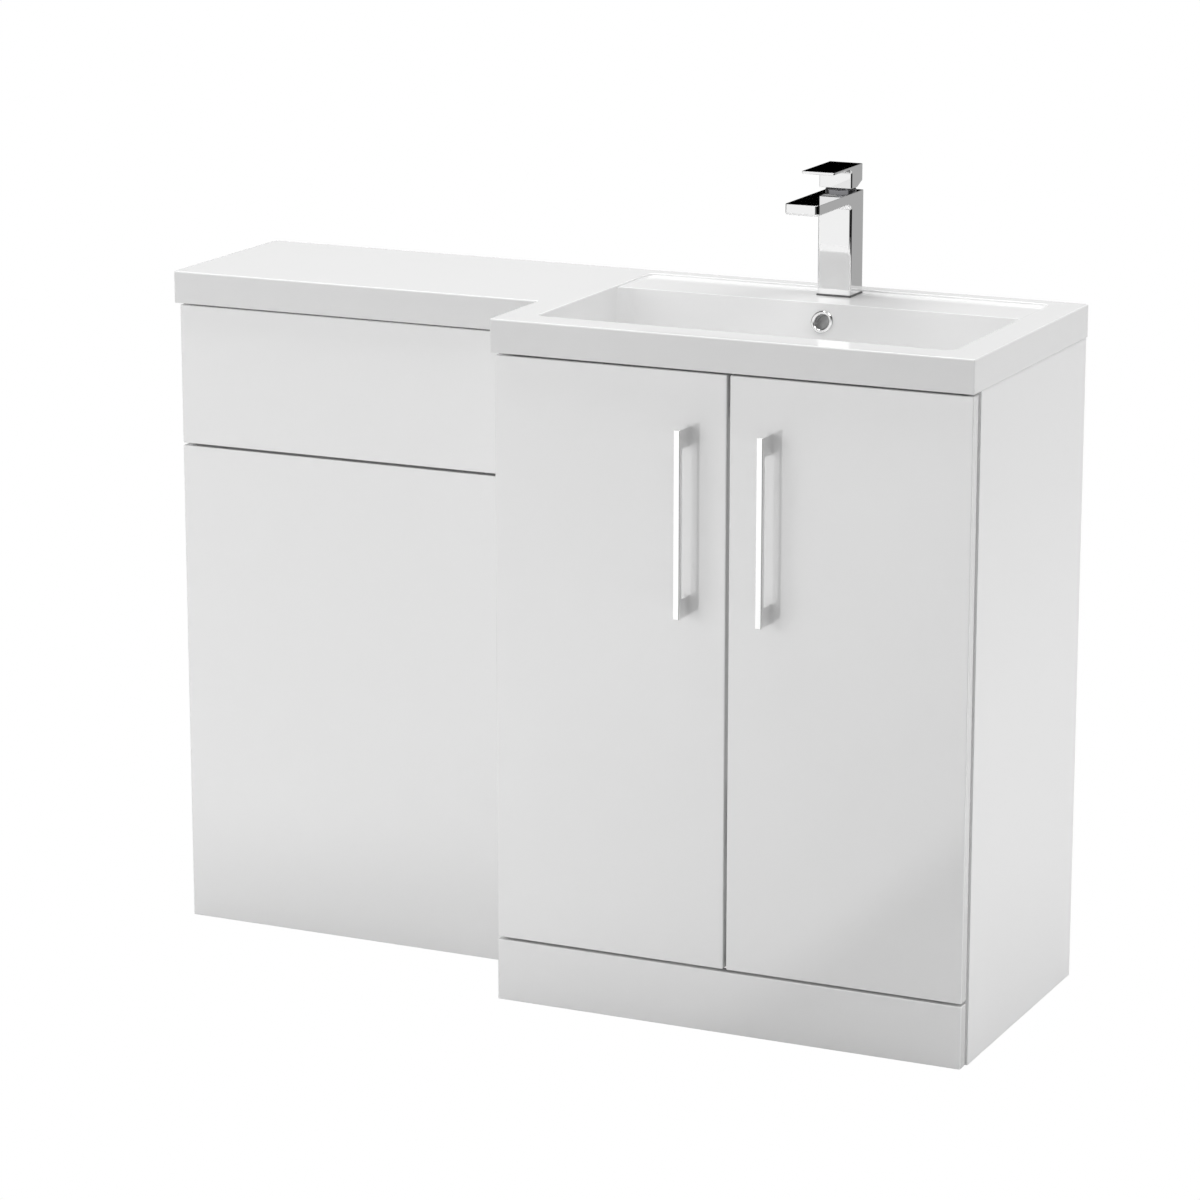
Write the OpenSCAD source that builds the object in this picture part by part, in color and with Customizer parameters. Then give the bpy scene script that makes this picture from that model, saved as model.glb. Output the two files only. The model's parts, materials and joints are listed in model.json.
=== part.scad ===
// WC housing unit and two-door basin cabinet under one L-shaped top with a moulded basin and a mixer tap.
// The wall is the plane y = 0 of the drawing, depth runs from it to the front, and z = 0 is the floor.

/* [Top] */
// Width of the whole unit, left end to right end of the top
unit_w = 1100; // [1060:1:1180]
// Height of the top surface above the floor
top_h = 837; // [800:1:880]
// Height of the edge of the top
top_edge = 40; // [34:1:50]
// Thickness of the moulded top plate and of its edge skirt
top_wall = 12; // [10:0.5:15]
// Depth of the top over the WC unit
wc_top_depth = 258; // [250:1:275]
// Depth of the top over the basin cabinet
basin_top_depth = 388; // [380:1:410]
// Width of the deeper basin part of the top
basin_top_w = 600.5; // [595:0.5:640]

/* [Basin] */
// Rim left of the recess and right of it
rim_side = 40.5; // [34:0.5:60]
// Rim in front of the recess
rim_front = 41.5; // [34:0.5:50]
// Rim behind the tap ledge
rim_back = 22; // [18:0.5:24]
// Depth from the wall of the ledge's front edge, where the bowl starts
ledge_depth = 109; // [104:1:118]
// Drop of the tap ledge below the rim
ledge_drop = 3.5; // [2:0.5:5]
// Corner radius of the recess in plan
recess_r = 12; // [8:1:18]
// Depth of the bowl's floor below the rim
bowl_depth = 100; // [90:1:110]
// Radius where the bowl's walls turn into its floor
bowl_floor_r = 28; // [20:1:34]
// How far the floor's outline draws in from the recess at each side
bowl_side_in = 18; // [12:1:40]
// How far the floor's outline draws in at the front
bowl_front_in = 20; // [14:1:34]
// How far the floor's outline draws in at the back
bowl_back_in = 36; // [24:1:44]
// Thickness of the bowl's wall
bowl_wall = 10; // [8:0.5:11]
// Drop of the overflow's centre below the rim
overflow_drop = 24.5; // [22:0.5:34]
// How far the overflow sits to the right of the basin's middle
overflow_aside = 8.5; // [-12:0.5:12]
// Outer radius of the overflow's trim ring
overflow_ring_r = 14; // [13:0.5:16]
// Radius of the overflow's opening through the trim ring
overflow_open_r = 9; // [7:0.5:10]

/* [Waste and trap] */
// Outer radius of the waste's threaded body
waste_r = 20; // [19:0.5:21]
// Radius of the waste's flange in the bowl
waste_flange_r = 32; // [30:0.5:34]
// Travel of the waste plug when it pops up
plug_travel = 8; // [6:1:10]
// Outer radius of the trap's bottle
bottle_r = 30; // [27:1:34]
// Height of the trap's bottle
bottle_h = 92; // [85:1:110]
// Bore radius of the trap's outlet socket, for a 34 mm waste pipe
outlet_r = 17.2; // [16:0.1:18]
// Depth of the outlet socket along its bore
outlet_socket_l = 24; // [20:1:30]
// Depth from the wall of the outlet socket's mouth
outlet_mouth_depth = 96; // [80:1:110]

/* [Tap] */
// Width of the tap's column and spout
tap_w = 43; // [41:0.5:48]
// Depth of the tap's column, front to back
tap_column_d = 38.5; // [37:0.5:44]
// Depth from the wall of the column's back face
tap_back_depth = 25; // [23.5:0.5:28]
// Height of the body, from its gasket to the top of the spout
tap_body_h = 123.5; // [110:0.5:140]
// Length of the body along the spout, from the column's back
spout_l = 143.5; // [125:0.5:160]
// Thickness of the spout
spout_t = 13; // [12.5:0.5:16]
// Thickness of the gasket under the tap
tap_gasket_t = 2; // [1:0.5:3]
// Length of the lever plate
lever_l = 89.5; // [80:0.5:100]
// Width of the lever plate and of its block
lever_w = 42; // [40:0.5:44]
// Thickness of the lever plate
lever_plate_t = 3.2; // [3:0.2:5]
// Height of the lever's top above the body's top
lever_rise = 32; // [30:0.5:36]
// Largest lift of the lever
lever_lift = 20; // [15:1:21]
// Outer radius of the inlet tails at their lower ends
tail_r = 5; // [4.6:0.1:5.4]
// Length of the inlet tails below the tap
tail_l = 190; // [150:5:200]
// Length of the wide lower end of a tail
tail_end_l = 30; // [25:1:60]

/* [Cabinets] */
// Thickness of the boards
board = 16; // [15:0.5:18]
// Width of the basin cabinet
vanity_w = 599; // [590:1:640]
// Gap between the right end of the top and the basin cabinet
end_overhang = 2; // [1:0.5:4]
// How far the top's front edge stands in front of the doors
door_overhang = 10; // [6:1:16]
// Gap behind a closed door
door_back_gap = 3; // [3:0.1:4]
// Gap between the two doors
door_gap = 4; // [3:0.5:5]
// How far the doors and the plinth stop short of the cabinet's outer sides
door_inset = 2; // [1.5:0.1:2.5]
// Gap between the doors and the top
door_top_gap = 4.2; // [3:0.1:6]
// Height of the plinth
plinth_h = 76.5; // [70:0.5:90]
// Gap between the plinth and the doors
plinth_gap = 3; // [2:0.5:4]
// How far the top's front edge stands in front of the WC unit's panels
wc_overhang = 8; // [4:1:14]
// Gap behind the WC unit's panels
wc_back_gap = 2; // [1.5:0.5:3]
// Height of the upper WC panel
wc_upper_h = 174.8; // [150:0.1:220]
// Gap between the WC unit's two panels
wc_split_gap = 3; // [2:0.5:4]
// Gap between the WC unit's upper panel and the top
wc_top_gap = 3.2; // [2:0.1:5]
// Height of the rails
rail_h = 100; // [80:1:120]

/* [Handles] */
// Width of the handle's square bar
handle_w = 7.5; // [6:0.5:10]
// Length of the handle
handle_l = 224; // [180:1:260]
// How far the handle stands off the door
handle_proj = 29; // [24:0.5:35]
// Length of each foot along the handle
handle_foot = 24; // [12:1:30]
// Distance of the handle's middle from the door's free edge
handle_edge = 49.5; // [35:0.5:60]
// Distance of the handle's top from the door's top
handle_drop = 63; // [40:1:120]

/* [Hinges] */
// Radius of the hinge cup in the door
cup_r = 17.5; // [17:0.1:18]
// Depth of the hinge cup
cup_depth = 12; // [11.6:0.1:12.5]
// Board left between the cup and the door's outer edge
cup_edge = 3; // [3:0.1:3.4]
// Distance of the hinge pin from the door's outer edge
pin_edge = 7; // [6.6:0.1:7]
// Distance of the hinge pin in front of the door's back
pin_in = 8; // [7.8:0.1:8.2]
// Radius of the hinge pin
pin_r = 1.25; // [1:0.05:1.4]
// Distance of the hinge centres from the door's ends
hinge_end = 100; // [80:1:130]

/* [Hidden] */
$fn = 64;

// ---- Clearances
fit = 0.05;          // radial clearance of a pin or screw in its hole
slide_gap = 0.3;     // gap between faces that move past each other
over = 1;            // how far a cut runs past the face that it opens

// ---- Colours
white_gloss = [0.93, 0.93, 0.93];
board_white = [0.88, 0.88, 0.87];
chrome = [0.75, 0.76, 0.78];
steel = [0.62, 0.63, 0.65];
brass = [0.78, 0.66, 0.38];
copper = [0.78, 0.50, 0.36];
rubber = [0.16, 0.16, 0.16];
plastic_white = [0.90, 0.90, 0.88];
plastic_grey = [0.55, 0.56, 0.57];
wood = [0.80, 0.68, 0.50];

// ---- Frame: the origin is the middle of the footprint, on the floor
door_face_depth = basin_top_depth - door_overhang;
wc_face_depth = wc_top_depth - wc_overhang;
total_depth = door_face_depth + handle_proj;
module at_wall() {
    translate([-unit_w / 2, total_depth / 2, 0])
        children();
}

// ---- Solids given by ranges across, in depth from the wall, and up
module block(x, d, z) {
    translate([x[0], -d[1], z[0]])
        cube([x[1] - x[0], d[1] - d[0], z[1] - z[0]]);
}
module rod_x(x, d, z, r) {
    translate([x[0], -d, z])
        rotate([0, 90, 0])
            cylinder(r = r, h = x[1] - x[0]);
}
module rod_d(x, d, z, r) {
    translate([x, -d[0], z])
        rotate([90, 0, 0])
            cylinder(r = r, h = d[1] - d[0]);
}
module rod_z(x, d, z, r) {
    translate([x, -d, z[0]])
        cylinder(r = r, h = z[1] - z[0]);
}
module tube_z(x, d, z, r, bore) {
    difference() {
        rod_z(x, d, z, r);
        rod_z(x, d, [z[0] - over, z[1] + over], bore);
    }
}
module round_rect(w, h, r) {
    square([w - 2 * r, h], center = true);
    square([w, h - 2 * r], center = true);
    for (sx = [-1, 1], sy = [-1, 1])
        translate([sx * (w / 2 - r), sy * (h / 2 - r)])
            circle(r = r);
}

// ================= Top and basin =================
top_under = top_h - top_edge;
plate_under = top_h - top_wall;
basin_left = unit_w - basin_top_w;
basin_x = (basin_left + unit_w) / 2;
recess_x = [basin_left + rim_side, unit_w - rim_side];
recess_front = basin_top_depth - rim_front;
ledge_z = top_h - ledge_drop;
floor_z = top_h - bowl_depth;
bowl_floor_x = [recess_x[0] + bowl_side_in + bowl_floor_r, recess_x[1] - bowl_side_in - bowl_floor_r];
bowl_floor_d = [ledge_depth + bowl_back_in + bowl_floor_r, recess_front - bowl_front_in - bowl_floor_r];
waste_depth = (bowl_floor_d[0] + bowl_floor_d[1]) / 2;
// Lean of the bowl's back wall from upright: the plane from the ledge's edge that touches the floor's round
back_run = bowl_back_in + bowl_floor_r;
back_drop = bowl_depth - bowl_floor_r;
back_lean = atan2(back_run, back_drop) - asin(bowl_floor_r / norm([back_run, back_drop]));
function back_wall_depth(z) = ledge_depth + (top_h - z) * tan(back_lean);
function back_wall_rear(z) = back_wall_depth(z) - bowl_wall / cos(back_lean);
overflow_z = top_h - overflow_drop;
overflow_x = basin_x + overflow_aside;
overflow_bore_r = overflow_open_r + 2;
// The overflow's duct runs down behind the bowl and under it to the waste
duct_gap = 10;
duct_wall = 5;
duct_half_w = 14;
duct_top = plate_under - duct_wall;
duct_z = floor_z - bowl_wall;
boss_z = duct_z - duct_gap - duct_wall;
waste_hole_r = waste_r + 2.5;
boss_r = waste_hole_r + 8;
waste_seat = floor_z - 1;
waste_recess_r = waste_flange_r + 1;
tap_hole_r = 17.5;
gasket_hole_r = tap_hole_r - 2;
tap_depth = tap_back_depth + tap_column_d / 2;
rim_disc_t = 0.6;
overflow_bore_l = bowl_wall + 10;
overflow_bore_out = 6;

module top_outline() {
    polygon([
        [0, 0], [unit_w, 0], [unit_w, -basin_top_depth],
        [basin_left, -basin_top_depth], [basin_left, -wc_top_depth], [0, -wc_top_depth]
    ]);
}
module top_shell() {
    difference() {
        translate([0, 0, top_under])
            linear_extrude(top_edge)
                top_outline();
        block([top_wall, basin_left - top_wall / 2], [top_wall, wc_top_depth - top_wall],
              [top_under - over, plate_under]);
        block([basin_left + top_wall, unit_w - top_wall], [top_wall, basin_top_depth - top_wall],
              [top_under - over, plate_under]);
    }
}
// Bowl drawn in from the recess: discs at the rim, balls at the floor; grown by the wall for its outside
module bowl_form(grow, rim_z) {
    hull() {
        for (x = [recess_x[0] + recess_r, recess_x[1] - recess_r],
             d = [ledge_depth + recess_r, recess_front - recess_r])
            translate([x, -d, rim_z])
                cylinder(r = recess_r + grow, h = rim_disc_t, $fn = 32);
        for (x = bowl_floor_x, d = bowl_floor_d)
            translate([x, -d, floor_z + bowl_floor_r])
                sphere(r = bowl_floor_r + grow, $fn = 32);
    }
}
module duct_profile(grow) {
    low = duct_z - duct_gap - grow;
    high = duct_top + grow;
    polygon([
        [-back_wall_rear(high), high],
        [-back_wall_rear(duct_z), duct_z],
        [-waste_depth, duct_z],
        [-waste_depth, low],
        [-(back_wall_rear(duct_z) - duct_gap - grow), low],
        [-(back_wall_rear(high) - duct_gap - grow), high]
    ]);
}
module duct_prism(grow) {
    translate([overflow_x - duct_half_w - grow, 0, 0])
        rotate([90, 0, 90])
            linear_extrude(2 * (duct_half_w + grow))
                duct_profile(grow);
}
module overflow_duct() {
    difference() {
        union() {
            duct_prism(duct_wall);
            rod_z(basin_x, waste_depth, [boss_z, floor_z - over], boss_r);
        }
        duct_prism(0);
    }
}
module on_back_wall() {
    translate([overflow_x, -back_wall_depth(overflow_z), overflow_z])
        rotate([90 - back_lean, 0, 0])
            children();
}
module ledge_pocket() {
    translate([0, 0, ledge_z])
        linear_extrude(ledge_drop + over) {
            translate([recess_x[0], -ledge_depth - recess_r])
                square([recess_x[1] - recess_x[0], ledge_depth - rim_back]);
            translate([recess_x[0] + recess_r, -ledge_depth - recess_r])
                square([recess_x[1] - recess_x[0] - 2 * recess_r, ledge_depth - rim_back + recess_r]);
            for (x = [recess_x[0] + recess_r, recess_x[1] - recess_r])
                translate([x, -rim_back - recess_r])
                    circle(r = recess_r);
        }
}
module basin_top() {
    color(white_gloss)
        at_wall()
            difference() {
                union() {
                    top_shell();
                    bowl_form(bowl_wall, plate_under);
                    overflow_duct();
                }
                bowl_form(0, top_h);
                ledge_pocket();
                rod_z(basin_x, tap_depth, [plate_under - over, top_h], tap_hole_r);
                rod_z(basin_x, waste_depth, [boss_z - over, floor_z + over], waste_hole_r);
                rod_z(basin_x, waste_depth, [waste_seat, floor_z + over], waste_recess_r);
                on_back_wall()
                    translate([0, 0, overflow_bore_out - overflow_bore_l])
                        cylinder(r = overflow_bore_r, h = overflow_bore_l);
            }
}
module overflow_ring() {
    lip = 2;
    lip_gap = 0.15;
    sleeve = 8;
    flare = 2;
    flare_t = 0.6;
    color(chrome)
        at_wall()
            on_back_wall()
                difference() {
                    union() {
                        translate([0, 0, lip_gap])
                            cylinder(r = overflow_ring_r, h = lip);
                        translate([0, 0, -sleeve])
                            cylinder(r = overflow_bore_r - fit, h = sleeve + lip / 2);
                    }
                    translate([0, 0, -sleeve - over])
                        cylinder(r = overflow_open_r, h = sleeve + lip + 2 * over);
                    translate([0, 0, lip - flare_t])
                        cylinder(r1 = overflow_open_r, r2 = overflow_open_r + flare, h = flare);
                }
}

// ================= Waste and trap =================
flange_t = 2.5;
flange_top = waste_seat + flange_t;
waste_bore = 16.5;
waste_len = 74;
waste_end = waste_seat - waste_len;
washer_t = 3;
nut_t = 9;
plug_r = waste_flange_r - 4;
plug_t = 3;
plug_gap = 0.5;
plug_z = flange_top + plug_gap;
plug_seat_t = 1;
// The plug's stem slides in a guide on the waste's cross, and still holds in it when the plug is up
cross_z = waste_seat - 46;
cross_t = 4;
spoke_w = 3;
guide_l = 12;
guide_wall = 3;
stem_r = 4;
stem_hold = 7;
stem_low = cross_z + guide_l - stem_hold - plug_travel;
trap_tube_r = 16;
trap_tube_bore = 13.6;
trap_seat = waste_end - 4;
trap_neck = 48;
bottle_top = trap_seat - trap_neck;
bottle_low = bottle_top - bottle_h;
outlet_drop = 22;
outlet_z = bottle_top - outlet_drop;
socket_wall = 3.5;
trap_wall = 3;
outlet_start = waste_depth - bottle_r + 2;
// The trap's flange sits between the waste's end and the shoulder in the nut
trap_flange_low = trap_seat - 3.4;
nut_shoulder = trap_seat - 3.5;
trap_nut_z = [trap_seat - 7, waste_end + 14];
socket_end = outlet_mouth_depth + outlet_socket_l;

module waste_body() {
    spokes = 4;
    color(chrome)
        at_wall() {
            difference() {
                union() {
                    rod_z(basin_x, waste_depth, [waste_seat, flange_top], waste_flange_r);
                    rod_z(basin_x, waste_depth, [waste_end, waste_seat + over], waste_r);
                }
                rod_z(basin_x, waste_depth, [waste_end - over, flange_top + over], waste_bore);
                rod_z(basin_x, waste_depth, [flange_top - plug_seat_t, flange_top + over],
                      plug_r + plug_gap);
                block([basin_x - duct_half_w / 2, basin_x + duct_half_w / 2],
                      [waste_depth - waste_r - over, waste_depth + waste_r + over],
                      [duct_z - duct_gap, duct_z]);
            }
            difference() {
                union() {
                    for (i = [0 : spokes - 1])
                        translate([basin_x, -waste_depth, cross_z])
                            rotate([0, 0, 45 + 360 / spokes * i])
                                translate([0, -spoke_w / 2, 0])
                                    cube([waste_bore + over, spoke_w, cross_t]);
                    rod_z(basin_x, waste_depth, [cross_z, cross_z + guide_l], stem_r + guide_wall);
                }
                rod_z(basin_x, waste_depth, [cross_z - over, cross_z + guide_l + over], stem_r + slide_gap);
            }
        }
}
module waste_washer() {
    color(rubber)
        at_wall()
            tube_z(basin_x, waste_depth, [boss_z - washer_t, boss_z], boss_r, waste_r + fit);
}
module waste_nut() {
    color(plastic_grey)
        at_wall()
            difference() {
                translate([basin_x, -waste_depth, boss_z - washer_t - nut_t])
                    cylinder(r = boss_r, h = nut_t, $fn = 6);
                rod_z(basin_x, waste_depth, [boss_z - washer_t - nut_t - over, boss_z], waste_r + fit);
            }
}
module waste_plug() {
    color(chrome)
        at_wall() {
            rod_z(basin_x, waste_depth, [plug_z, plug_z + plug_t], plug_r);
            rod_z(basin_x, waste_depth, [plug_z - plug_seat_t, plug_z + over], waste_bore - 2);
            rod_z(basin_x, waste_depth, [stem_low, plug_z], stem_r);
        }
}
module trap_nut() {
    color(plastic_white)
        at_wall()
            difference() {
                rod_z(basin_x, waste_depth, trap_nut_z, waste_r + 5);
                rod_z(basin_x, waste_depth, [nut_shoulder, trap_nut_z[1] + over], waste_r + fit);
                rod_z(basin_x, waste_depth, [trap_nut_z[0] - over, trap_seat], trap_tube_r + fit);
            }
}
module trap_body() {
    dip = bottle_low + outlet_drop;
    color(plastic_white)
        at_wall()
            difference() {
                union() {
                    rod_z(basin_x, waste_depth, [trap_flange_low, waste_end], waste_r - 1);
                    rod_z(basin_x, waste_depth, [dip, trap_seat], trap_tube_r);
                    difference() {
                        rod_z(basin_x, waste_depth, [bottle_low, bottle_top], bottle_r);
                        rod_z(basin_x, waste_depth, [bottle_low - over, bottle_top - trap_wall],
                              bottle_r - trap_wall);
                        rod_d(basin_x, [outlet_start - trap_wall, outlet_start + trap_wall], outlet_z,
                              trap_tube_bore);
                    }
                    difference() {
                        union() {
                            rod_d(basin_x, [outlet_mouth_depth, outlet_start], outlet_z, trap_tube_r);
                            rod_d(basin_x, [outlet_mouth_depth, socket_end + trap_wall], outlet_z,
                                  outlet_r + socket_wall);
                        }
                        rod_d(basin_x, [outlet_mouth_depth - over, outlet_start + over], outlet_z,
                              trap_tube_bore);
                        rod_d(basin_x, [outlet_mouth_depth - over, socket_end], outlet_z, outlet_r);
                    }
                }
                rod_z(basin_x, waste_depth, [dip - over, waste_end + over], trap_tube_bore);
            }
}
module trap_cup() {
    cup_wall = 3;
    cup_floor = 6;
    cup_h = 22;
    ribs = 12;
    rib_r = 1.6;
    cup_z = [bottle_low - cup_floor, bottle_low - cup_floor + cup_h];
    color(plastic_white)
        at_wall()
            difference() {
                union() {
                    rod_z(basin_x, waste_depth, cup_z, bottle_r + cup_wall);
                    for (i = [0 : ribs - 1])
                        translate([basin_x, -waste_depth, cup_z[0]])
                            rotate([0, 0, 360 / ribs * i])
                                translate([bottle_r + cup_wall, 0, 0])
                                    cylinder(r = rib_r, h = cup_h, $fn = 16);
                }
                rod_z(basin_x, waste_depth, [bottle_low - slide_gap, cup_z[1] + over], bottle_r + fit);
            }
}
module trap_outlet_nut() {
    socket_r = outlet_r + socket_wall;
    nut_wall = 4;
    nut_d = [outlet_mouth_depth - nut_wall, outlet_mouth_depth + 16];
    pipe_gap = 0.6;
    color(plastic_white)
        at_wall()
            difference() {
                rod_d(basin_x, nut_d, outlet_z, socket_r + nut_wall);
                rod_d(basin_x, [outlet_mouth_depth - fit, nut_d[1] + over], outlet_z, socket_r + fit);
                rod_d(basin_x, [nut_d[0] - over, outlet_mouth_depth + over], outlet_z, outlet_r + pipe_gap);
            }
}

// ================= Tap =================
tap_base = ledge_z + tap_gasket_t;
tap_top = tap_base + tap_body_h;
spout_front = tap_back_depth + spout_l;
corner_r = 3;
cartridge_bore_r = 15;
cartridge_low = tap_top - 37;
cartridge_port_half = 6;
cartridge_port_back = 3;
cartridge_port_r = 2.5;
yoke_r = 9.25;
yoke_low = cartridge_low + 12;
yoke_top = tap_top - 7;
pivot_z = tap_top - 11;
cap_t = 3;
cap_r = min(tap_w, tap_column_d) / 2 - 0.75;
cap_bore = 12.8;
block_low = tap_top + 5.5;
lever_top = tap_top + lever_rise;
lever_back = tap_back_depth + 3;
lever_block_front = tap_back_depth + tap_column_d - 1.5;
aerator_depth = spout_front - 17;
aerator_r = 10;
aerator_top = tap_top - 4;
port_r = 3;
waterway_r = 3.5;
waterway_z = tap_top - spout_t / 2;
inlet_r = 4.5;
inlet_thread = 14;
inlet_half = 9;
inlet_depth = tap_depth - 6;
tail_neck_r = 4;
tail_bore = 3.2;
stud_in = 12;
stud_depth = tap_depth + 10;
stud_r = 4;
yoke_pin_r = 1.5;
yoke_pin_half = yoke_r - 0.6;
spindle_w = 8;
spindle_below = 5;
spindle_top = lever_top - 9;
spindle_socket = spindle_w / 2 + fit;
grub_r = 2.5;
grub_z = block_low + 9;
plug_cap_r = 3.5;
plug_cap_t = 2.8;
plug_seat = lever_back + plug_cap_t + slide_gap;

function inlet_x(s) = basin_x + s * inlet_half;
module tap_column(z) {
    translate([basin_x, -tap_depth, z[0]])
        linear_extrude(z[1] - z[0])
            round_rect(tap_w, tap_column_d, corner_r);
}
module spout_bar() {
    translate([basin_x, -(tap_back_depth + spout_front) / 2, tap_top - spout_t])
        linear_extrude(spout_t)
            round_rect(tap_w, spout_l, corner_r + 1);
}
module spout_fillet() {
    r = 7;
    front = tap_back_depth + tap_column_d;
    difference() {
        block([basin_x - tap_w / 2, basin_x + tap_w / 2], [front - over, front + r],
              [tap_top - spout_t - r, tap_top - spout_t + over]);
        rod_x([basin_x - tap_w, basin_x + tap_w], front + r, tap_top - spout_t - r, r);
    }
}
module tap_body() {
    color(chrome)
        at_wall()
            difference() {
                union() {
                    tap_column([tap_base, tap_top]);
                    spout_bar();
                    spout_fillet();
                }
                rod_z(basin_x, tap_depth, [cartridge_low, tap_top + over], cartridge_bore_r);
                rod_d(basin_x, [tap_depth, aerator_depth], waterway_z, waterway_r);
                rod_z(basin_x, aerator_depth, [tap_top - spout_t - over, aerator_top], aerator_r);
                for (s = [-1, 1]) {
                    rod_z(inlet_x(s), inlet_depth, [tap_base - over, tap_base + inlet_thread], inlet_r);
                    rod_z(inlet_x(s), inlet_depth, [tap_base, cartridge_low + over], port_r);
                }
                rod_z(basin_x, stud_depth, [tap_base - over, tap_base + stud_in], stud_r + fit);
            }
}
module tap_gasket() {
    rim = 1;
    color(plastic_grey)
        at_wall()
            difference() {
                translate([basin_x, -tap_depth, ledge_z])
                    linear_extrude(tap_gasket_t)
                        round_rect(tap_w + 2 * rim, tap_column_d + 2 * rim, corner_r);
                rod_z(basin_x, tap_depth, [ledge_z - over, tap_base + over], gasket_hole_r);
            }
}
module tap_aerator() {
    // Rings of holes: [radius of the ring, number of holes]
    rings = [[2.5, 6], [5, 12], [7.5, 18]];
    hole_r = 0.8;
    hole_depth = 4;
    face_z = tap_top - spout_t + 0.5;
    color(plastic_grey)
        at_wall()
            difference() {
                rod_z(basin_x, aerator_depth, [face_z, aerator_top - slide_gap], aerator_r - fit);
                for (ring = rings, i = [1 : ring[1]])
                    translate([basin_x, -aerator_depth, face_z - over])
                        rotate([0, 0, 360 / ring[1] * i])
                            translate([ring[0], 0, 0])
                                cylinder(r = hole_r, h = hole_depth + over, $fn = 16);
            }
}
module tap_cartridge() {
    color(plastic_grey)
        at_wall()
            difference() {
                rod_z(basin_x, tap_depth, [cartridge_low, yoke_top + over], cartridge_bore_r - fit);
                rod_z(basin_x, tap_depth, [yoke_low, tap_top], yoke_r + fit);
                for (s = [-1, 1])
                    rod_z(basin_x + s * cartridge_port_half, tap_depth - cartridge_port_back,
                          [cartridge_low - over, yoke_low + over], cartridge_port_r);
                rod_d(basin_x, [tap_depth + yoke_r - over, tap_depth + cartridge_bore_r + over],
                      waterway_z, waterway_r);
            }
}
module tap_cap_ring() {
    color(chrome)
        at_wall()
            difference() {
                union() {
                    rod_z(basin_x, tap_depth, [tap_top, tap_top + cap_t], cap_r);
                    rod_z(basin_x, tap_depth, [yoke_top + over + slide_gap, tap_top + over],
                          cartridge_bore_r - fit);
                }
                rod_z(basin_x, tap_depth, [yoke_top, tap_top + cap_t + over], cap_bore);
            }
}
module tap_yoke() {
    slot_w = spindle_w / 2 + slide_gap;
    slot_l = 6.9;
    slot_low = pivot_z - spindle_below - 3;
    color(plastic_grey)
        at_wall()
            difference() {
                rod_z(basin_x, tap_depth, [yoke_low + slide_gap, yoke_top], yoke_r);
                block([basin_x - slot_w, basin_x + slot_w], [tap_depth - slot_l, tap_depth + slot_l],
                      [slot_low, yoke_top + over]);
                rod_x([basin_x - yoke_r, basin_x + yoke_r], tap_depth, pivot_z, yoke_pin_r + fit / 2);
            }
}
module yoke_pin() {
    color(steel)
        at_wall()
            rod_x([basin_x - yoke_pin_half, basin_x + yoke_pin_half], tap_depth, pivot_z, yoke_pin_r);
}
module lever_spindle() {
    half = spindle_w / 2;
    color(brass)
        at_wall()
            difference() {
                block([basin_x - half, basin_x + half], [tap_depth - half, tap_depth + half],
                      [pivot_z - spindle_below, spindle_top]);
                rod_x([basin_x - tap_w, basin_x + tap_w], tap_depth, pivot_z, yoke_pin_r + fit);
            }
}
module tap_lever() {
    // The block's rear underside slopes up, so that the lever can tip back
    slope = lever_lift + 2;
    rise = (tap_depth - lever_back) * tan(slope);
    plate_low = lever_top - lever_plate_t;
    fillet_r = 6;
    merge = 0.5;
    edge_r = corner_r - 1;
    color(chrome)
        at_wall()
            difference() {
                union() {
                    translate([basin_x, -(lever_back + lever_l / 2), plate_low])
                        linear_extrude(lever_plate_t)
                            round_rect(lever_w, lever_l, edge_r);
                    translate([basin_x, -(lever_back + lever_block_front) / 2, block_low])
                        linear_extrude(plate_low - block_low + merge)
                            round_rect(lever_w, lever_block_front - lever_back, edge_r);
                    difference() {
                        block([basin_x - lever_w / 2, basin_x + lever_w / 2],
                              [lever_block_front - over, lever_block_front + fillet_r],
                              [plate_low - fillet_r, plate_low + merge]);
                        rod_x([basin_x - lever_w, basin_x + lever_w], lever_block_front + fillet_r,
                              plate_low - fillet_r, fillet_r);
                    }
                }
                translate([basin_x - lever_w, 0, 0])
                    rotate([90, 0, 90])
                        linear_extrude(2 * lever_w)
                            polygon([
                                [-tap_depth, block_low],
                                [-lever_back + over, block_low + rise + over * tan(slope)],
                                [-lever_back + over, block_low - over],
                                [-tap_depth, block_low - over]
                            ]);
                block([basin_x - spindle_socket, basin_x + spindle_socket],
                      [tap_depth - spindle_socket, tap_depth + spindle_socket],
                      [block_low - over, spindle_top + fit]);
                rod_d(basin_x, [lever_back - over, tap_depth], grub_z, grub_r + fit);
                rod_d(basin_x, [lever_back - over, plug_seat], grub_z, plug_cap_r + fit);
            }
}
module lever_grub_screw() {
    color(steel)
        at_wall()
            rod_d(basin_x, [plug_seat + slide_gap, tap_depth - spindle_w / 2], grub_z, grub_r);
}
module lever_plug() {
    color(chrome)
        at_wall()
            rod_d(basin_x, [lever_back, lever_back + plug_cap_t], grub_z, plug_cap_r);
}
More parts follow.
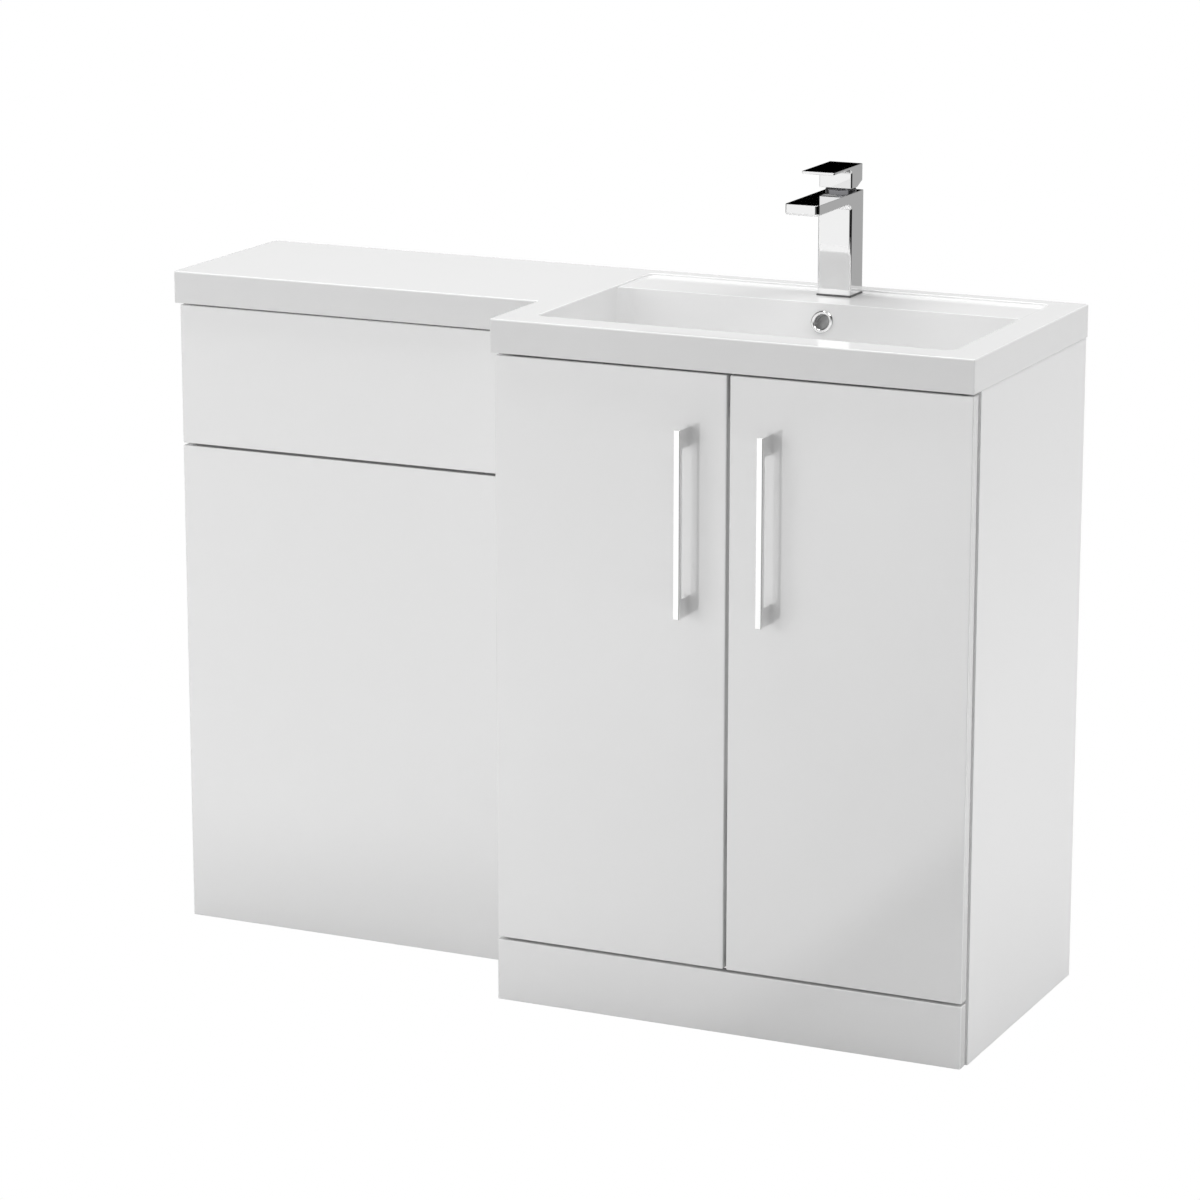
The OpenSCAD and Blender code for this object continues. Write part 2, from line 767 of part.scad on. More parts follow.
// Each tail is a narrow pipe that widens at its lower end, where the supply's coupler grips it
module inlet_tails() {
    thread_top = tap_base + inlet_thread - over;
    low = tap_base - tail_l;
    end_top = low + tail_end_l;
    flare = 4;
    color(copper)
        at_wall()
            for (s = [-1, 1])
                difference() {
                    union() {
                        rod_z(inlet_x(s), inlet_depth, [low, end_top], tail_r);
                        translate([inlet_x(s), -inlet_depth, end_top])
                            cylinder(r1 = tail_r, r2 = tail_neck_r, h = flare);
                        rod_z(inlet_x(s), inlet_depth, [end_top, tap_base], tail_neck_r);
                        rod_z(inlet_x(s), inlet_depth, [tap_base - over, thread_top], inlet_r - fit);
                    }
                    rod_z(inlet_x(s), inlet_depth, [low - over, thread_top + over], tail_bore);
                }
}
clamp_t = 3;
backnut_t = 7;
module tap_stud() {
    end_below = 24;
    color(steel)
        at_wall()
            rod_z(basin_x, stud_depth, [plate_under - end_below, tap_base + stud_in - over], stud_r);
}
module tap_clamp() {
    clamp_r = 24;
    slot_half = inlet_half + tail_r + 1;
    color(steel)
        at_wall()
            difference() {
                rod_z(basin_x, tap_depth, [plate_under - clamp_t, plate_under], clamp_r);
                block([basin_x - slot_half, basin_x + slot_half], [0, tap_depth + 1],
                      [plate_under - clamp_t - over, plate_under + over]);
                rod_z(basin_x, stud_depth, [plate_under - clamp_t - over, plate_under + over],
                      stud_r + slide_gap);
            }
}
module tap_backnut() {
    nut_low = plate_under - clamp_t - backnut_t;
    color(brass)
        at_wall()
            difference() {
                translate([basin_x, -stud_depth, nut_low])
                    cylinder(r = 2 * stud_r, h = backnut_t, $fn = 6);
                rod_z(basin_x, stud_depth, [nut_low - over, plate_under], stud_r + fit);
            }
}

// ================= Basin cabinet =================
vanity_x = [unit_w - end_overhang - vanity_w, unit_w - end_overhang];
vanity_in = [vanity_x[0] + board, vanity_x[1] - board];
door_back = door_face_depth - board;
vanity_depth = door_back - door_back_gap;
door_low = plinth_h + plinth_gap;
door_top = top_under - door_top_gap;
base_z = [door_low, door_low + board];
vanity_mid = (vanity_x[0] + vanity_x[1]) / 2;
door_edges = [vanity_x[0] + door_inset, vanity_x[1] - door_inset];
door_x = [[door_edges[0], vanity_mid - door_gap / 2], [vanity_mid + door_gap / 2, door_edges[1]]];
hinge_z = [door_low + hinge_end, door_top - hinge_end];
pin_depth = door_back + pin_in;

// ---- Knock-down joints: a point is [board face, way into the rail, depth, height, axis of the cam]
cam_in = 24;
cam_r = 7.5;
cam_t = 12;
bolt_r = 3.5;
bolt_in = 11;
dowel_r = 4;
dowel_len = 26;
dowel_step = 28;
dowel_in_side = dowel_len / 2 - 3;
base_joint_end = 60;
rail_mid_d = board / 2;
rail_top_mid = top_under - rail_h / 2;
rail_low_mid = base_z[1] + rail_h / 2;
vanity_joints = [
    for (face = [[vanity_in[0], 1], [vanity_in[1], -1]])
        each [
            [face[0], face[1], base_joint_end, base_z[0] + board / 2, "z"],
            [face[0], face[1], vanity_depth - base_joint_end, base_z[0] + board / 2, "z"],
            [face[0], face[1], rail_mid_d, rail_top_mid, "d"],
            [face[0], face[1], rail_mid_d, rail_low_mid, "d"]
        ]
];
function axis_step(j) = j[4] == "z" ? [dowel_step, 0] : [0, dowel_step];
module along_x(from, way, length, d, z, r) {
    rod_x([min(from, from + way * length), max(from, from + way * length)], d, z, r);
}
module cam_body(j, grow) {
    x = j[0] + j[1] * cam_in;
    if (j[4] == "z")
        rod_z(x, j[2], [j[3] - board / 2, j[3] - board / 2 + cam_t + grow], cam_r + grow);
    else
        rod_d(x, [j[2] + board / 2 - cam_t - grow, j[2] + board / 2], j[3], cam_r + grow);
}
module joint_cuts(joints) {
    for (j = joints) {
        cam_body(j, fit);
        along_x(j[0] - j[1] * bolt_in, j[1], bolt_in + cam_in, j[2], j[3], bolt_r + fit);
        dowel_at(j, fit);
    }
}
module dowel_at(j, grow) {
    step = axis_step(j);
    along_x(j[0] - j[1] * (dowel_in_side + grow), j[1], dowel_len + 2 * grow,
            j[2] + step[0], j[3] + step[1], dowel_r + grow);
}

// ---- Wood screws: [x, depth, z, direction that the point faces]
screw_r = 1.9;
screw_l = 13;
screw_head_r = 3.6;
screw_head_t = 2;
head_merge = 0.5;
module wood_screw(s, grow, head) {
    ways = [["+x", [0, 90, 0]], ["-x", [0, -90, 0]], ["+d", [90, 0, 0]], ["-d", [-90, 0, 0]]];
    turn = ways[search([s[3]], ways)[0]][1];
    translate([s[0], -s[1], s[2]])
        rotate(turn) {
            translate([0, 0, -head_merge])
                cylinder(r = screw_r + grow, h = screw_l + head_merge + grow);
            if (head)
                translate([0, 0, -screw_head_t])
                    cylinder(r = screw_head_r, h = screw_head_t);
        }
}
module screw_holes(list) {
    for (s = list)
        wood_screw(s, fit, false);
}

// ---- Concealed hinges; side is -1 at the left door and 1 at the right one
plate_t = 3;
plate_half = 22;
plate_screw_up = 16;
plate_front = 37;
function hinge_edge(side) = side < 0 ? door_edges[0] : door_edges[1];
function pin_x(side) = hinge_edge(side) - side * pin_edge;
function cup_x(side) = hinge_edge(side) - side * (cup_edge + cup_r);
function cup_screw_x(side) = cup_x(side) - side * cup_screw_in;
function side_face(side) = side < 0 ? vanity_in[0] : vanity_in[1];
arm_w = 7;
arm_t = 2.2;
arm_reach = 12.5;
arm_body_l = 60;
arm_body_t = 4.5;
arm_body_gap = 7;
knuckle_r = 2.6;
cup_pocket_half = arm_w / 2 + 0.5;
cup_flange_t = 1.2;
cup_floor_t = 0.8;
cup_rim = 1;
cup_wing_half = 5;
cup_screw_in = 9.5;
cup_screw_up = 22.5;
cup_screw_r = 1.6;
cup_screw_l = 10;
cup_screw_head_r = 3;
cup_screw_head_t = 1.2;
pin_half = 6;
hinge_plate_screws = [
    for (side = [-1, 1], z = hinge_z, up = [-plate_screw_up, plate_screw_up])
        [side_face(side) - side * plate_t, vanity_depth - plate_front, z + up, side < 0 ? "-x" : "+x"]
];
module hinge_frame(side, z) {
    translate([pin_x(side), -pin_depth, z])
        mirror([side < 0 ? 1 : 0, 0, 0])
            children();
}
// The arm's outline seen from above, with the pin at the origin, the cabinet at +y and its inside at -x
module arm_outline() {
    body_start = pin_in + door_back_gap + arm_body_gap;
    plate_face = vanity_x[1] - board - plate_t - pin_x(1);
    circle(r = knuckle_r);
    translate([-arm_reach - arm_t / 2, -arm_t / 2])
        square([arm_reach + arm_t / 2, arm_t]);
    translate([-arm_reach - arm_t / 2, -arm_t / 2])
        square([arm_t, body_start + arm_t]);
    translate([plate_face - arm_body_t, body_start])
        square([arm_body_t, arm_body_l]);
}
module hinge_arms() {
    color(steel)
        at_wall()
            for (side = [-1, 1], z = hinge_z)
                hinge_frame(side, z)
                    difference() {
                        translate([0, 0, -arm_w / 2])
                            linear_extrude(arm_w)
                                arm_outline();
                        translate([0, 0, -arm_w])
                            cylinder(r = pin_r + fit, h = 2 * arm_w);
                    }
}
module hinge_plates() {
    plate_d = vanity_depth - plate_front;
    color(steel)
        at_wall()
            difference() {
                for (side = [-1, 1], z = hinge_z)
                    leg_off_face([side_face(side), -side], plate_t,
                                 [plate_d - plate_half, plate_d + plate_half],
                                 [z - plate_half, z + plate_half]);
                screw_holes(hinge_plate_screws);
            }
}
module cup_shape(side, z) {
    rod_d(cup_x(side), [door_back - cup_flange_t, door_back], z, cup_r + cup_rim);
    rod_d(cup_x(side), [door_back, door_back + cup_depth], z, cup_r);
    wing = cup_screw_x(side);
    block([min(wing - cup_wing_half, cup_x(side)), max(wing + cup_wing_half, cup_x(side))],
          [door_back - cup_flange_t, door_back],
          [z - cup_screw_up - cup_wing_half, z + cup_screw_up + cup_wing_half]);
}
module hinge_cups(side) {
    // The pocket ends just past the knuckle, which leaves room for the arm with the door open
    pocket = [cup_x(side) - side * (cup_r - 3), pin_x(side) + side * (knuckle_r + 0.5)];
    color(steel)
        at_wall()
            for (z = hinge_z)
                difference() {
                    cup_shape(side, z);
                    block([min(pocket), max(pocket)],
                          [door_back - cup_flange_t - over, door_back + cup_depth - cup_floor_t],
                          [z - cup_pocket_half, z + cup_pocket_half]);
                    rod_z(pin_x(side), pin_depth, [z - pin_half - fit, z + pin_half + fit],
                          pin_r + fit / 5);
                    for (up = [-cup_screw_up, cup_screw_up])
                        rod_d(cup_screw_x(side), [door_back - cup_flange_t - over, door_back + over],
                              z + up, cup_screw_r + fit);
                }
}
module hinge_cups_left() { hinge_cups(-1); }
module hinge_cups_right() { hinge_cups(1); }
module hinge_pins(side) {
    color(steel)
        at_wall()
            for (z = hinge_z)
                rod_z(pin_x(side), pin_depth, [z - pin_half, z + pin_half], pin_r);
}
module hinge_pins_left() { hinge_pins(-1); }
module hinge_pins_right() { hinge_pins(1); }

// ---- Doors and handles
handle_z = [door_top - handle_drop - handle_l, door_top - handle_drop];
handle_screw_z = [handle_z[0] + handle_foot / 2, handle_z[1] - handle_foot / 2];
handle_screw_r = 2;
handle_screw_in = 12;
handle_screw_head_r = 4;
handle_screw_head_t = 2.2;
function handle_x(side) = side < 0 ? door_x[0][1] - handle_edge : door_x[1][0] + handle_edge;
module door(side) {
    x = side < 0 ? door_x[0] : door_x[1];
    color(white_gloss)
        at_wall()
            difference() {
                block(x, [door_back, door_face_depth], [door_low, door_top]);
                for (z = hinge_z) {
                    rod_d(cup_x(side), [door_back - over, door_back + cup_depth + fit], z, cup_r + fit);
                    for (up = [-cup_screw_up, cup_screw_up])
                        rod_d(cup_screw_x(side), [door_back - over, door_back + cup_screw_l + fit], z + up,
                              cup_screw_r + fit);
                }
                for (z = handle_screw_z)
                    rod_d(handle_x(side), [door_back - over, door_face_depth + over], z,
                          handle_screw_r + fit);
            }
}
module door_left() { door(-1); }
module door_right() { door(1); }
module handle(side) {
    x = [handle_x(side) - handle_w / 2, handle_x(side) + handle_w / 2];
    front = door_face_depth + handle_proj;
    color(chrome)
        at_wall()
            difference() {
                union() {
                    block(x, [front - handle_w, front], handle_z);
                    for (z = [handle_z[0], handle_z[1] - handle_foot])
                        block(x, [door_face_depth, front - handle_w / 2], [z, z + handle_foot]);
                }
                for (z = handle_screw_z)
                    rod_d(handle_x(side), [door_face_depth - over, door_face_depth + handle_screw_in], z,
                          handle_screw_r + fit);
            }
}
module handle_left() { handle(-1); }
module handle_right() { handle(1); }
// The two long screws of a handle, and the four short ones of its door's hinge cups
module door_screws(side) {
    color(steel)
        at_wall() {
            for (z = handle_screw_z) {
                rod_d(handle_x(side), [door_back - handle_screw_head_t, door_back], z, handle_screw_head_r);
                rod_d(handle_x(side), [door_back - over, door_face_depth + handle_screw_in - over], z,
                      handle_screw_r);
            }
            for (z = hinge_z, up = [-cup_screw_up, cup_screw_up]) {
                rod_d(cup_screw_x(side),
                      [door_back - cup_flange_t - cup_screw_head_t, door_back - cup_flange_t],
                      z + up, cup_screw_head_r);
                rod_d(cup_screw_x(side), [door_back - cup_flange_t - head_merge, door_back + cup_screw_l],
                      z + up, cup_screw_r);
            }
        }
}
module door_screws_left() { door_screws(-1); }
module door_screws_right() { door_screws(1); }
module door_buffers() {
    buffer_r = 5;
    from_edge = 18;
    color(plastic_white)
        at_wall()
            for (x = [door_x[0][1] - from_edge, door_x[1][0] + from_edge])
                rod_d(x, [vanity_depth, door_back - slide_gap], base_z[0] + board / 2, buffer_r);
}

// ================= WC unit =================
wc_x = [end_overhang, vanity_x[0]];
wc_in = [wc_x[0] + board, wc_x[1] - board];
wc_panel_back = wc_face_depth - board;
wc_depth = wc_panel_back - wc_back_gap;
wc_panel_inset = 1.4;
wc_panel_x = [wc_x[0] + wc_panel_inset, wc_x[1] - wc_panel_inset];
wc_upper_z = [top_under - wc_top_gap - wc_upper_h, top_under - wc_top_gap];
wc_floor_gap = 1;
wc_lower_z = [wc_floor_gap, wc_upper_z[0] - wc_split_gap];
wc_mid_z = wc_upper_z[0] - wc_split_gap / 2;
wc_rail_d = wc_depth - board / 2;
wc_joints = [
    for (face = [[wc_in[0], 1], [wc_in[1], -1]])
        each [
            [face[0], face[1], wc_rail_d, rail_top_mid, "r"],
            [face[0], face[1], wc_rail_d, wc_mid_z, "r"],
            [face[0], face[1], rail_mid_d, rail_top_mid, "d"]
        ]
];
stud_inset = 74;
stud_rise = 26;
stud_z = [wc_mid_z + stud_rise, rail_top_mid];
panel_stud_r = 4;
panel_stud_in = 10;
stud_x = [wc_in[0] + stud_inset, wc_in[1] - stud_inset];
socket_r = 7.5;
socket_bore = 4.3;
socket_hold = 13;

// ---- Angle brackets: [face that carries it, way off that face, panel's back, height]
angle_leg = 26;
angle_w = 18;
angle_t = 2;
angle_screw_edge = 8;
wc_angle_z = [110, 460];
angles = concat(
    [for (f = [[vanity_in[0], 1], [vanity_in[1], -1]]) [f[0], f[1], door_back, plinth_h / 2]],
    [for (f = [[wc_in[0], 1], [wc_in[1], -1]], z = wc_angle_z) [f[0], f[1], wc_panel_back, z]]
);
angle_screws = [
    for (a = angles)
        each [
            [a[0] + a[1] * angle_t, a[2] - angle_leg + angle_screw_edge, a[3], a[1] > 0 ? "-x" : "+x"],
            [a[0] + a[1] * (angle_leg - angle_screw_edge), a[2] - angle_t, a[3], "+d"]
        ]
];
wall_leg = 42;
wall_w = 30;
wall_t = 2.5;
wall_hole_r = 3.3;
wall_hole_in = 26;
wall_bracket_drop = 50;
wall_bracket_z = rail_top_mid - rail_h / 2 - wall_bracket_drop;
wall_screw_depths = [16, 32];
wall_faces = [[vanity_in[0], 1], [vanity_in[1], -1], [wc_in[0], 1], [wc_in[1], -1]];
wall_screws = [
    for (f = wall_faces, d = wall_screw_depths)
        [f[0] + f[1] * wall_t, d, wall_bracket_z, f[1] > 0 ? "-x" : "+x"]
];
// ---- Bolts that pull the two cabinets together
joining_depths = [70, 190];
joining_z = [250, 560];
joining_spots = [for (d = joining_depths, z = joining_z) [d, z]];
joining_r = 3;
joining_head_r = 7;
joining_head_t = 3;

module vanity_side(x) {
    color(board_white)
        at_wall()
            difference() {
                block(x, [0, vanity_depth], [0, top_under]);
                joint_cuts(vanity_joints);
                screw_holes(hinge_plate_screws);
                screw_holes(angle_screws);
                screw_holes(wall_screws);
                joining_holes();
            }
}
module joining_holes() {
    for (s = joining_spots)
        rod_x([wc_in[1] - over, vanity_in[0] + over], s[0], s[1], joining_r + fit);
}
module vanity_side_left() { vanity_side([vanity_x[0], vanity_in[0]]); }
module vanity_side_right() { vanity_side([vanity_in[1], vanity_x[1]]); }
module cabinet_board(x, d, z, joints) {
    color(board_white)
        at_wall()
            difference() {
                block(x, d, z);
                joint_cuts(joints);
            }
}
module vanity_base() { cabinet_board(vanity_in, [0, vanity_depth], base_z, vanity_joints); }
module vanity_rail_top() {
    cabinet_board(vanity_in, [0, board], [top_under - rail_h, top_under], vanity_joints);
}
module vanity_rail_low() {
    cabinet_board(vanity_in, [0, board], [base_z[1], base_z[1] + rail_h], vanity_joints);
}
module plinth() {
    color(white_gloss)
        at_wall()
            difference() {
                block(door_edges, [door_back, door_face_depth], [0, plinth_h]);
                screw_holes(angle_screws);
            }
}
module wc_side(x) {
    color(board_white)
        at_wall()
            difference() {
                block(x, [0, wc_depth], [0, top_under]);
                joint_cuts(wc_joints);
                screw_holes(angle_screws);
                screw_holes(wall_screws);
                joining_holes();
            }
}
module wc_side_left() { wc_side([wc_x[0], wc_in[0]]); }
module wc_side_right() { wc_side([wc_in[1], wc_x[1]]); }
module wc_rail(z) {
    color(board_white)
        at_wall()
            difference() {
                block(wc_in, [wc_depth - board, wc_depth], z);
                joint_cuts(wc_joints);
                for (x = stud_x, sz = stud_z)
                    rod_d(x, [wc_depth - board - over, wc_depth + over], sz, socket_r + fit);
            }
}
module wc_rail_top() { wc_rail([top_under - rail_h, top_under]); }
module wc_rail_mid() { wc_rail([wc_mid_z - rail_h / 2, wc_mid_z + rail_h / 2]); }
module wc_rail_back() { cabinet_board(wc_in, [0, board], [top_under - rail_h, top_under], wc_joints); }
module wc_panel_upper() {
    color(white_gloss)
        at_wall()
            difference() {
                block(wc_panel_x, [wc_panel_back, wc_face_depth], wc_upper_z);
                for (x = stud_x, z = stud_z)
                    rod_d(x, [wc_panel_back - over, wc_panel_back + panel_stud_in], z, panel_stud_r + fit);
            }
}
module wc_panel_lower() {
    color(white_gloss)
        at_wall()
            difference() {
                block(wc_panel_x, [wc_panel_back, wc_face_depth], wc_lower_z);
                screw_holes(angle_screws);
            }
}
module panel_studs() {
    color(plastic_white)
        at_wall()
            for (x = stud_x, z = stud_z) {
                rod_d(x, [wc_panel_back - over, wc_panel_back + panel_stud_in - fit], z, panel_stud_r);
                rod_d(x, [wc_depth + slide_gap, wc_panel_back], z, 2 * panel_stud_r);
                rod_d(x, [wc_depth - socket_hold, wc_panel_back - over], z, socket_bore - slide_gap);
            }
}
module panel_sockets() {
    color(plastic_grey)
        at_wall()
            for (x = stud_x, z = stud_z)
                difference() {
                    rod_d(x, [wc_depth - board, wc_depth], z, socket_r);
                    rod_d(x, [wc_depth - board - over, wc_depth + over], z, socket_bore);
                }
}
// A plate that runs from a board's face, f[0], for a length in the direction f[1]
module leg_off_face(f, length, d, z) {
    ends = [f[0], f[0] + f[1] * length];
    block([min(ends), max(ends)], d, z);
}
module angle_brackets() {
    color(steel)
        at_wall()
            difference() {
                for (a = angles) {
                    z = [a[3] - angle_w / 2, a[3] + angle_w / 2];
                    leg_off_face(a, angle_t, [a[2] - angle_leg, a[2]], z);
                    leg_off_face(a, angle_leg, [a[2] - angle_t, a[2]], z);
                }
                screw_holes(angle_screws);
            }
}
module wall_brackets() {
    z = [wall_bracket_z - wall_w / 2, wall_bracket_z + wall_w / 2];
    color(steel)
        at_wall()
            difference() {
                for (f = wall_faces) {
                    leg_off_face(f, wall_t, [0, wall_leg], z);
                    leg_off_face(f, wall_leg, [0, wall_t], z);
                }
                screw_holes(wall_screws);
                for (f = wall_faces)
                    rod_d(f[0] + f[1] * wall_hole_in, [-over, wall_t + over], wall_bracket_z, wall_hole_r);
            }
}
module wood_screws() {
    color(steel)
        at_wall()
            for (s = concat(hinge_plate_screws, angle_screws, wall_screws))
                wood_screw(s, 0, true);
}
module cam_fittings() {
    color(steel)
        at_wall()
            for (j = concat(vanity_joints, wc_joints)) {
                cam_body(j, 0);
                along_x(j[0] - j[1] * (bolt_in - fit), j[1], bolt_in + cam_in - fit, j[2], j[3], bolt_r);
            }
}
module dowels() {
    color(wood)
        at_wall()
            for (j = concat(vanity_joints, wc_joints))
                dowel_at(j, 0);
}
module cabinet_bolts() {
    color(steel)
        at_wall()
            for (s = joining_spots) {
                rod_x([wc_in[1] - joining_head_t, vanity_in[0] + joining_head_t], s[0], s[1], joining_r);
                rod_x([wc_in[1] - joining_head_t, wc_in[1]], s[0], s[1], joining_head_r);
                rod_x([vanity_in[0], vanity_in[0] + joining_head_t], s[0], s[1], joining_head_r);
            }
}

basin_top();
overflow_ring();
waste_body();
waste_washer();
waste_nut();
waste_plug();
trap_nut();
trap_body();
trap_cup();
trap_outlet_nut();
tap_body();
tap_gasket();
tap_aerator();
tap_cartridge();
tap_cap_ring();
tap_yoke();
yoke_pin();
lever_spindle();
tap_lever();
lever_grub_screw();
lever_plug();
inlet_tails();
tap_stud();
tap_clamp();
tap_backnut();
vanity_side_left();
vanity_side_right();
vanity_base();
vanity_rail_top();
vanity_rail_low();
plinth();
door_left();
door_right();
handle_left();
handle_right();
door_screws_left();
door_screws_right();
hinge_cups_left();
hinge_cups_right();
hinge_pins_left();
hinge_pins_right();
hinge_arms();
hinge_plates();
door_buffers();
wc_side_left();
wc_side_right();
wc_rail_top();
wc_rail_mid();
wc_rail_back();
wc_panel_upper();
wc_panel_lower();
panel_studs();
panel_sockets();
angle_brackets();
wall_brackets();
wood_screws();
cam_fittings();
dowels();
cabinet_bolts();
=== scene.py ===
import json
import math
import bpy
import bmesh
from mathutils import Vector, Matrix


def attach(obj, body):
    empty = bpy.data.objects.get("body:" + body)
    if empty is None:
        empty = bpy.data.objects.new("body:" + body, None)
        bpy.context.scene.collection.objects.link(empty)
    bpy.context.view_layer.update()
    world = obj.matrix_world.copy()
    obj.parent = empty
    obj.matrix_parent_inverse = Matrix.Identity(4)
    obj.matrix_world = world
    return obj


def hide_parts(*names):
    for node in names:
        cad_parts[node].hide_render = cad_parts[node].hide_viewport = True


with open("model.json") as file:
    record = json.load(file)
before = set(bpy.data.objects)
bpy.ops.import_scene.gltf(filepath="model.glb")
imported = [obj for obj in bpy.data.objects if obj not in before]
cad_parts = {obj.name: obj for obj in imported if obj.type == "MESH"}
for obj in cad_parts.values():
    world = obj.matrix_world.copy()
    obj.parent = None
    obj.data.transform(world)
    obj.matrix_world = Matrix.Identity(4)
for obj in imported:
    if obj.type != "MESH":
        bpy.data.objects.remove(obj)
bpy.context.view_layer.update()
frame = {"nodes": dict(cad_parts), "record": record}
nodes = frame["nodes"]


# ---------------------------------------------------------------- frame
# x across from the left end, d out from the wall, z up, all in mm
MID_X = 0.55                # metres from the left end to the middle of the unit
WALL_Y = 0.2035             # metres from the middle of the unit to the wall


def at(x, d, z):
    """The frame's point, in metres, for a place in mm."""
    return Vector((x / 1000 - MID_X, WALL_Y - d / 1000, z / 1000))


def place(v):
    """Where a vertex is, as (x, d, z) in mm."""
    return (v.co.x + MID_X) * 1000, (WALL_Y - v.co.y) * 1000, v.co.z * 1000


UNIT_W = 1100
BASIN_TOP_D = 388           # the top over the basin cabinet
WC_TOP_D = 258              # and over the WC housing
STEP_X = 499.5              # where the one steps back to the other
TOP = 837.0                 # the worktop
UNDERSIDE = 797             # the top's lower edge
POCKET_TOP = 825            # roof of the hollows under the top
BASIN_X = 799.75            # middle of the basin and the tap
OVERFLOW_X, OVERFLOW_Z = 808.25, 812.5      # middle of the overflow
RECESS_X = (540.0, 1059.5)  # the basin's recess
RECESS_D = (22.0, 346.5)
CORNER_R = 12
LEDGE = 833.5               # the sunk ledge that carries the tap
LEDGE_D = 109.0             # its front edge
FLOOR = 737.0               # the bowl's floor
FLOOR_R = 28                # round between the floor and the walls
SIDE_IN, BACK_IN, FRONT_IN = 18, 36, 20     # how far each wall comes in on its way down
WALL_T = 10.0
WASTE_D = 235.75
TAP_D = 44.25
TAP_HOLE_R = 17.5

FRONT_T = 16                # doors, panels and plinth
DOOR_FACE = 378
PANEL_FACE = 250
DOOR_Z = (79.5, 792.8)
LEFT_DOOR_X = (501, 796.5)
RIGHT_DOOR_X = (800.5, 1096)
PANEL_X = (3.4, 497.6)


# ---------------------------------------------------------------- materials
def new_mat(name):
    m = bpy.data.materials.new(name)
    m.use_nodes = True
    nt = m.node_tree
    return m, nt, nt.nodes["Principled BSDF"]


def noise(nt, scale, detail=2.0, rough=0.5):
    tc = nt.nodes.new("ShaderNodeTexCoord")
    n = nt.nodes.new("ShaderNodeTexNoise")
    n.inputs["Scale"].default_value = scale
    n.inputs["Detail"].default_value = detail
    n.inputs["Roughness"].default_value = rough
    nt.links.new(tc.outputs["Object"], n.inputs["Vector"])
    return n


def spread(nt, source, lo, hi):
    r = nt.nodes.new("ShaderNodeMapRange")
    r.inputs["From Min"].default_value = 0.15
    r.inputs["From Max"].default_value = 0.85
    r.inputs["To Min"].default_value = lo
    r.inputs["To Max"].default_value = hi
    nt.links.new(source, r.inputs["Value"])
    return r.outputs["Result"]


def mottle(nt, bsdf, colour, scale, amount):
    n = noise(nt, scale)
    mix = nt.nodes.new("ShaderNodeMix")
    mix.data_type = "RGBA"
    nt.links.new(spread(nt, n.outputs["Fac"], 0, 1), mix.inputs["Factor"])
    mix.inputs[6].default_value = [c * (1 - amount) for c in colour] + [1]
    mix.inputs[7].default_value = list(colour) + [1]
    nt.links.new(mix.outputs[2], bsdf.inputs["Base Color"])


BUMP_DEPTH = 0.0002


def bump(nt, bsdf, scale, strength, edge):
    n = noise(nt, scale, 3.0)
    b = nt.nodes.new("ShaderNodeBump")
    b.inputs["Strength"].default_value = strength
    b.inputs["Distance"].default_value = BUMP_DEPTH
    nt.links.new(n.outputs["Fac"], b.inputs["Height"])
    if edge:
        e = nt.nodes.new("ShaderNodeBevel")
        e.samples = 6
        e.inputs["Radius"].default_value = edge
        nt.links.new(e.outputs["Normal"], b.inputs["Normal"])
    nt.links.new(b.outputs["Normal"], bsdf.inputs["Normal"])


# how far the painted corner shade reaches, in metres
PAINTED_SHADE_REACH = 0.055


def paint_corner_shade(nt, bsdf, amount):
    """Painted shade: the base colour is darkened by ambient occlusion in corners and recesses, where shade
    falls, by the given amount.
    """
    ao = nt.nodes.new("ShaderNodeAmbientOcclusion")
    ao.samples = 8
    ao.only_local = True
    ao.inputs["Distance"].default_value = PAINTED_SHADE_REACH
    mix = nt.nodes.new("ShaderNodeMix")
    mix.data_type = "RGBA"
    mix.inputs["Factor"].default_value = amount
    nt.links.new(bsdf.inputs["Base Color"].links[0].from_socket, ao.inputs["Color"])
    nt.links.new(bsdf.inputs["Base Color"].links[0].from_socket, mix.inputs[6])
    nt.links.new(ao.outputs["Color"], mix.inputs[7])
    nt.links.new(mix.outputs[2], bsdf.inputs["Base Color"])


def grey(value):
    return (value, value, value)


def surface(name, colour, rough, metal=0.0, mottling=0.02, mottle_scale=6.0, rough_range=0.0, bump_scale=0.0,
            bump_strength=0.0, edge=0.0, spec=0.5, coat=0.0, painted_shade=0.0):
    m, nt, b = new_mat(name)
    mottle(nt, b, colour, mottle_scale, mottling)
    # painted shade: the colour is darkened in corners and recesses
    if painted_shade:
        paint_corner_shade(nt, b, painted_shade)
    b.inputs["Metallic"].default_value = metal
    b.inputs["Roughness"].default_value = rough
    b.inputs["Specular IOR Level"].default_value = spec
    b.inputs["Coat Weight"].default_value = coat
    b.inputs["Coat Roughness"].default_value = min(rough, 0.04)
    b.inputs["Coat IOR"].default_value = 1.7
    if rough_range:
        n = noise(nt, 9.0, 3.0)
        varied = spread(nt, n.outputs["Fac"], rough - rough_range, rough + rough_range)
        nt.links.new(varied, b.inputs["Roughness"])
    if bump_scale:
        bump(nt, b, bump_scale, bump_strength, edge)
    return m


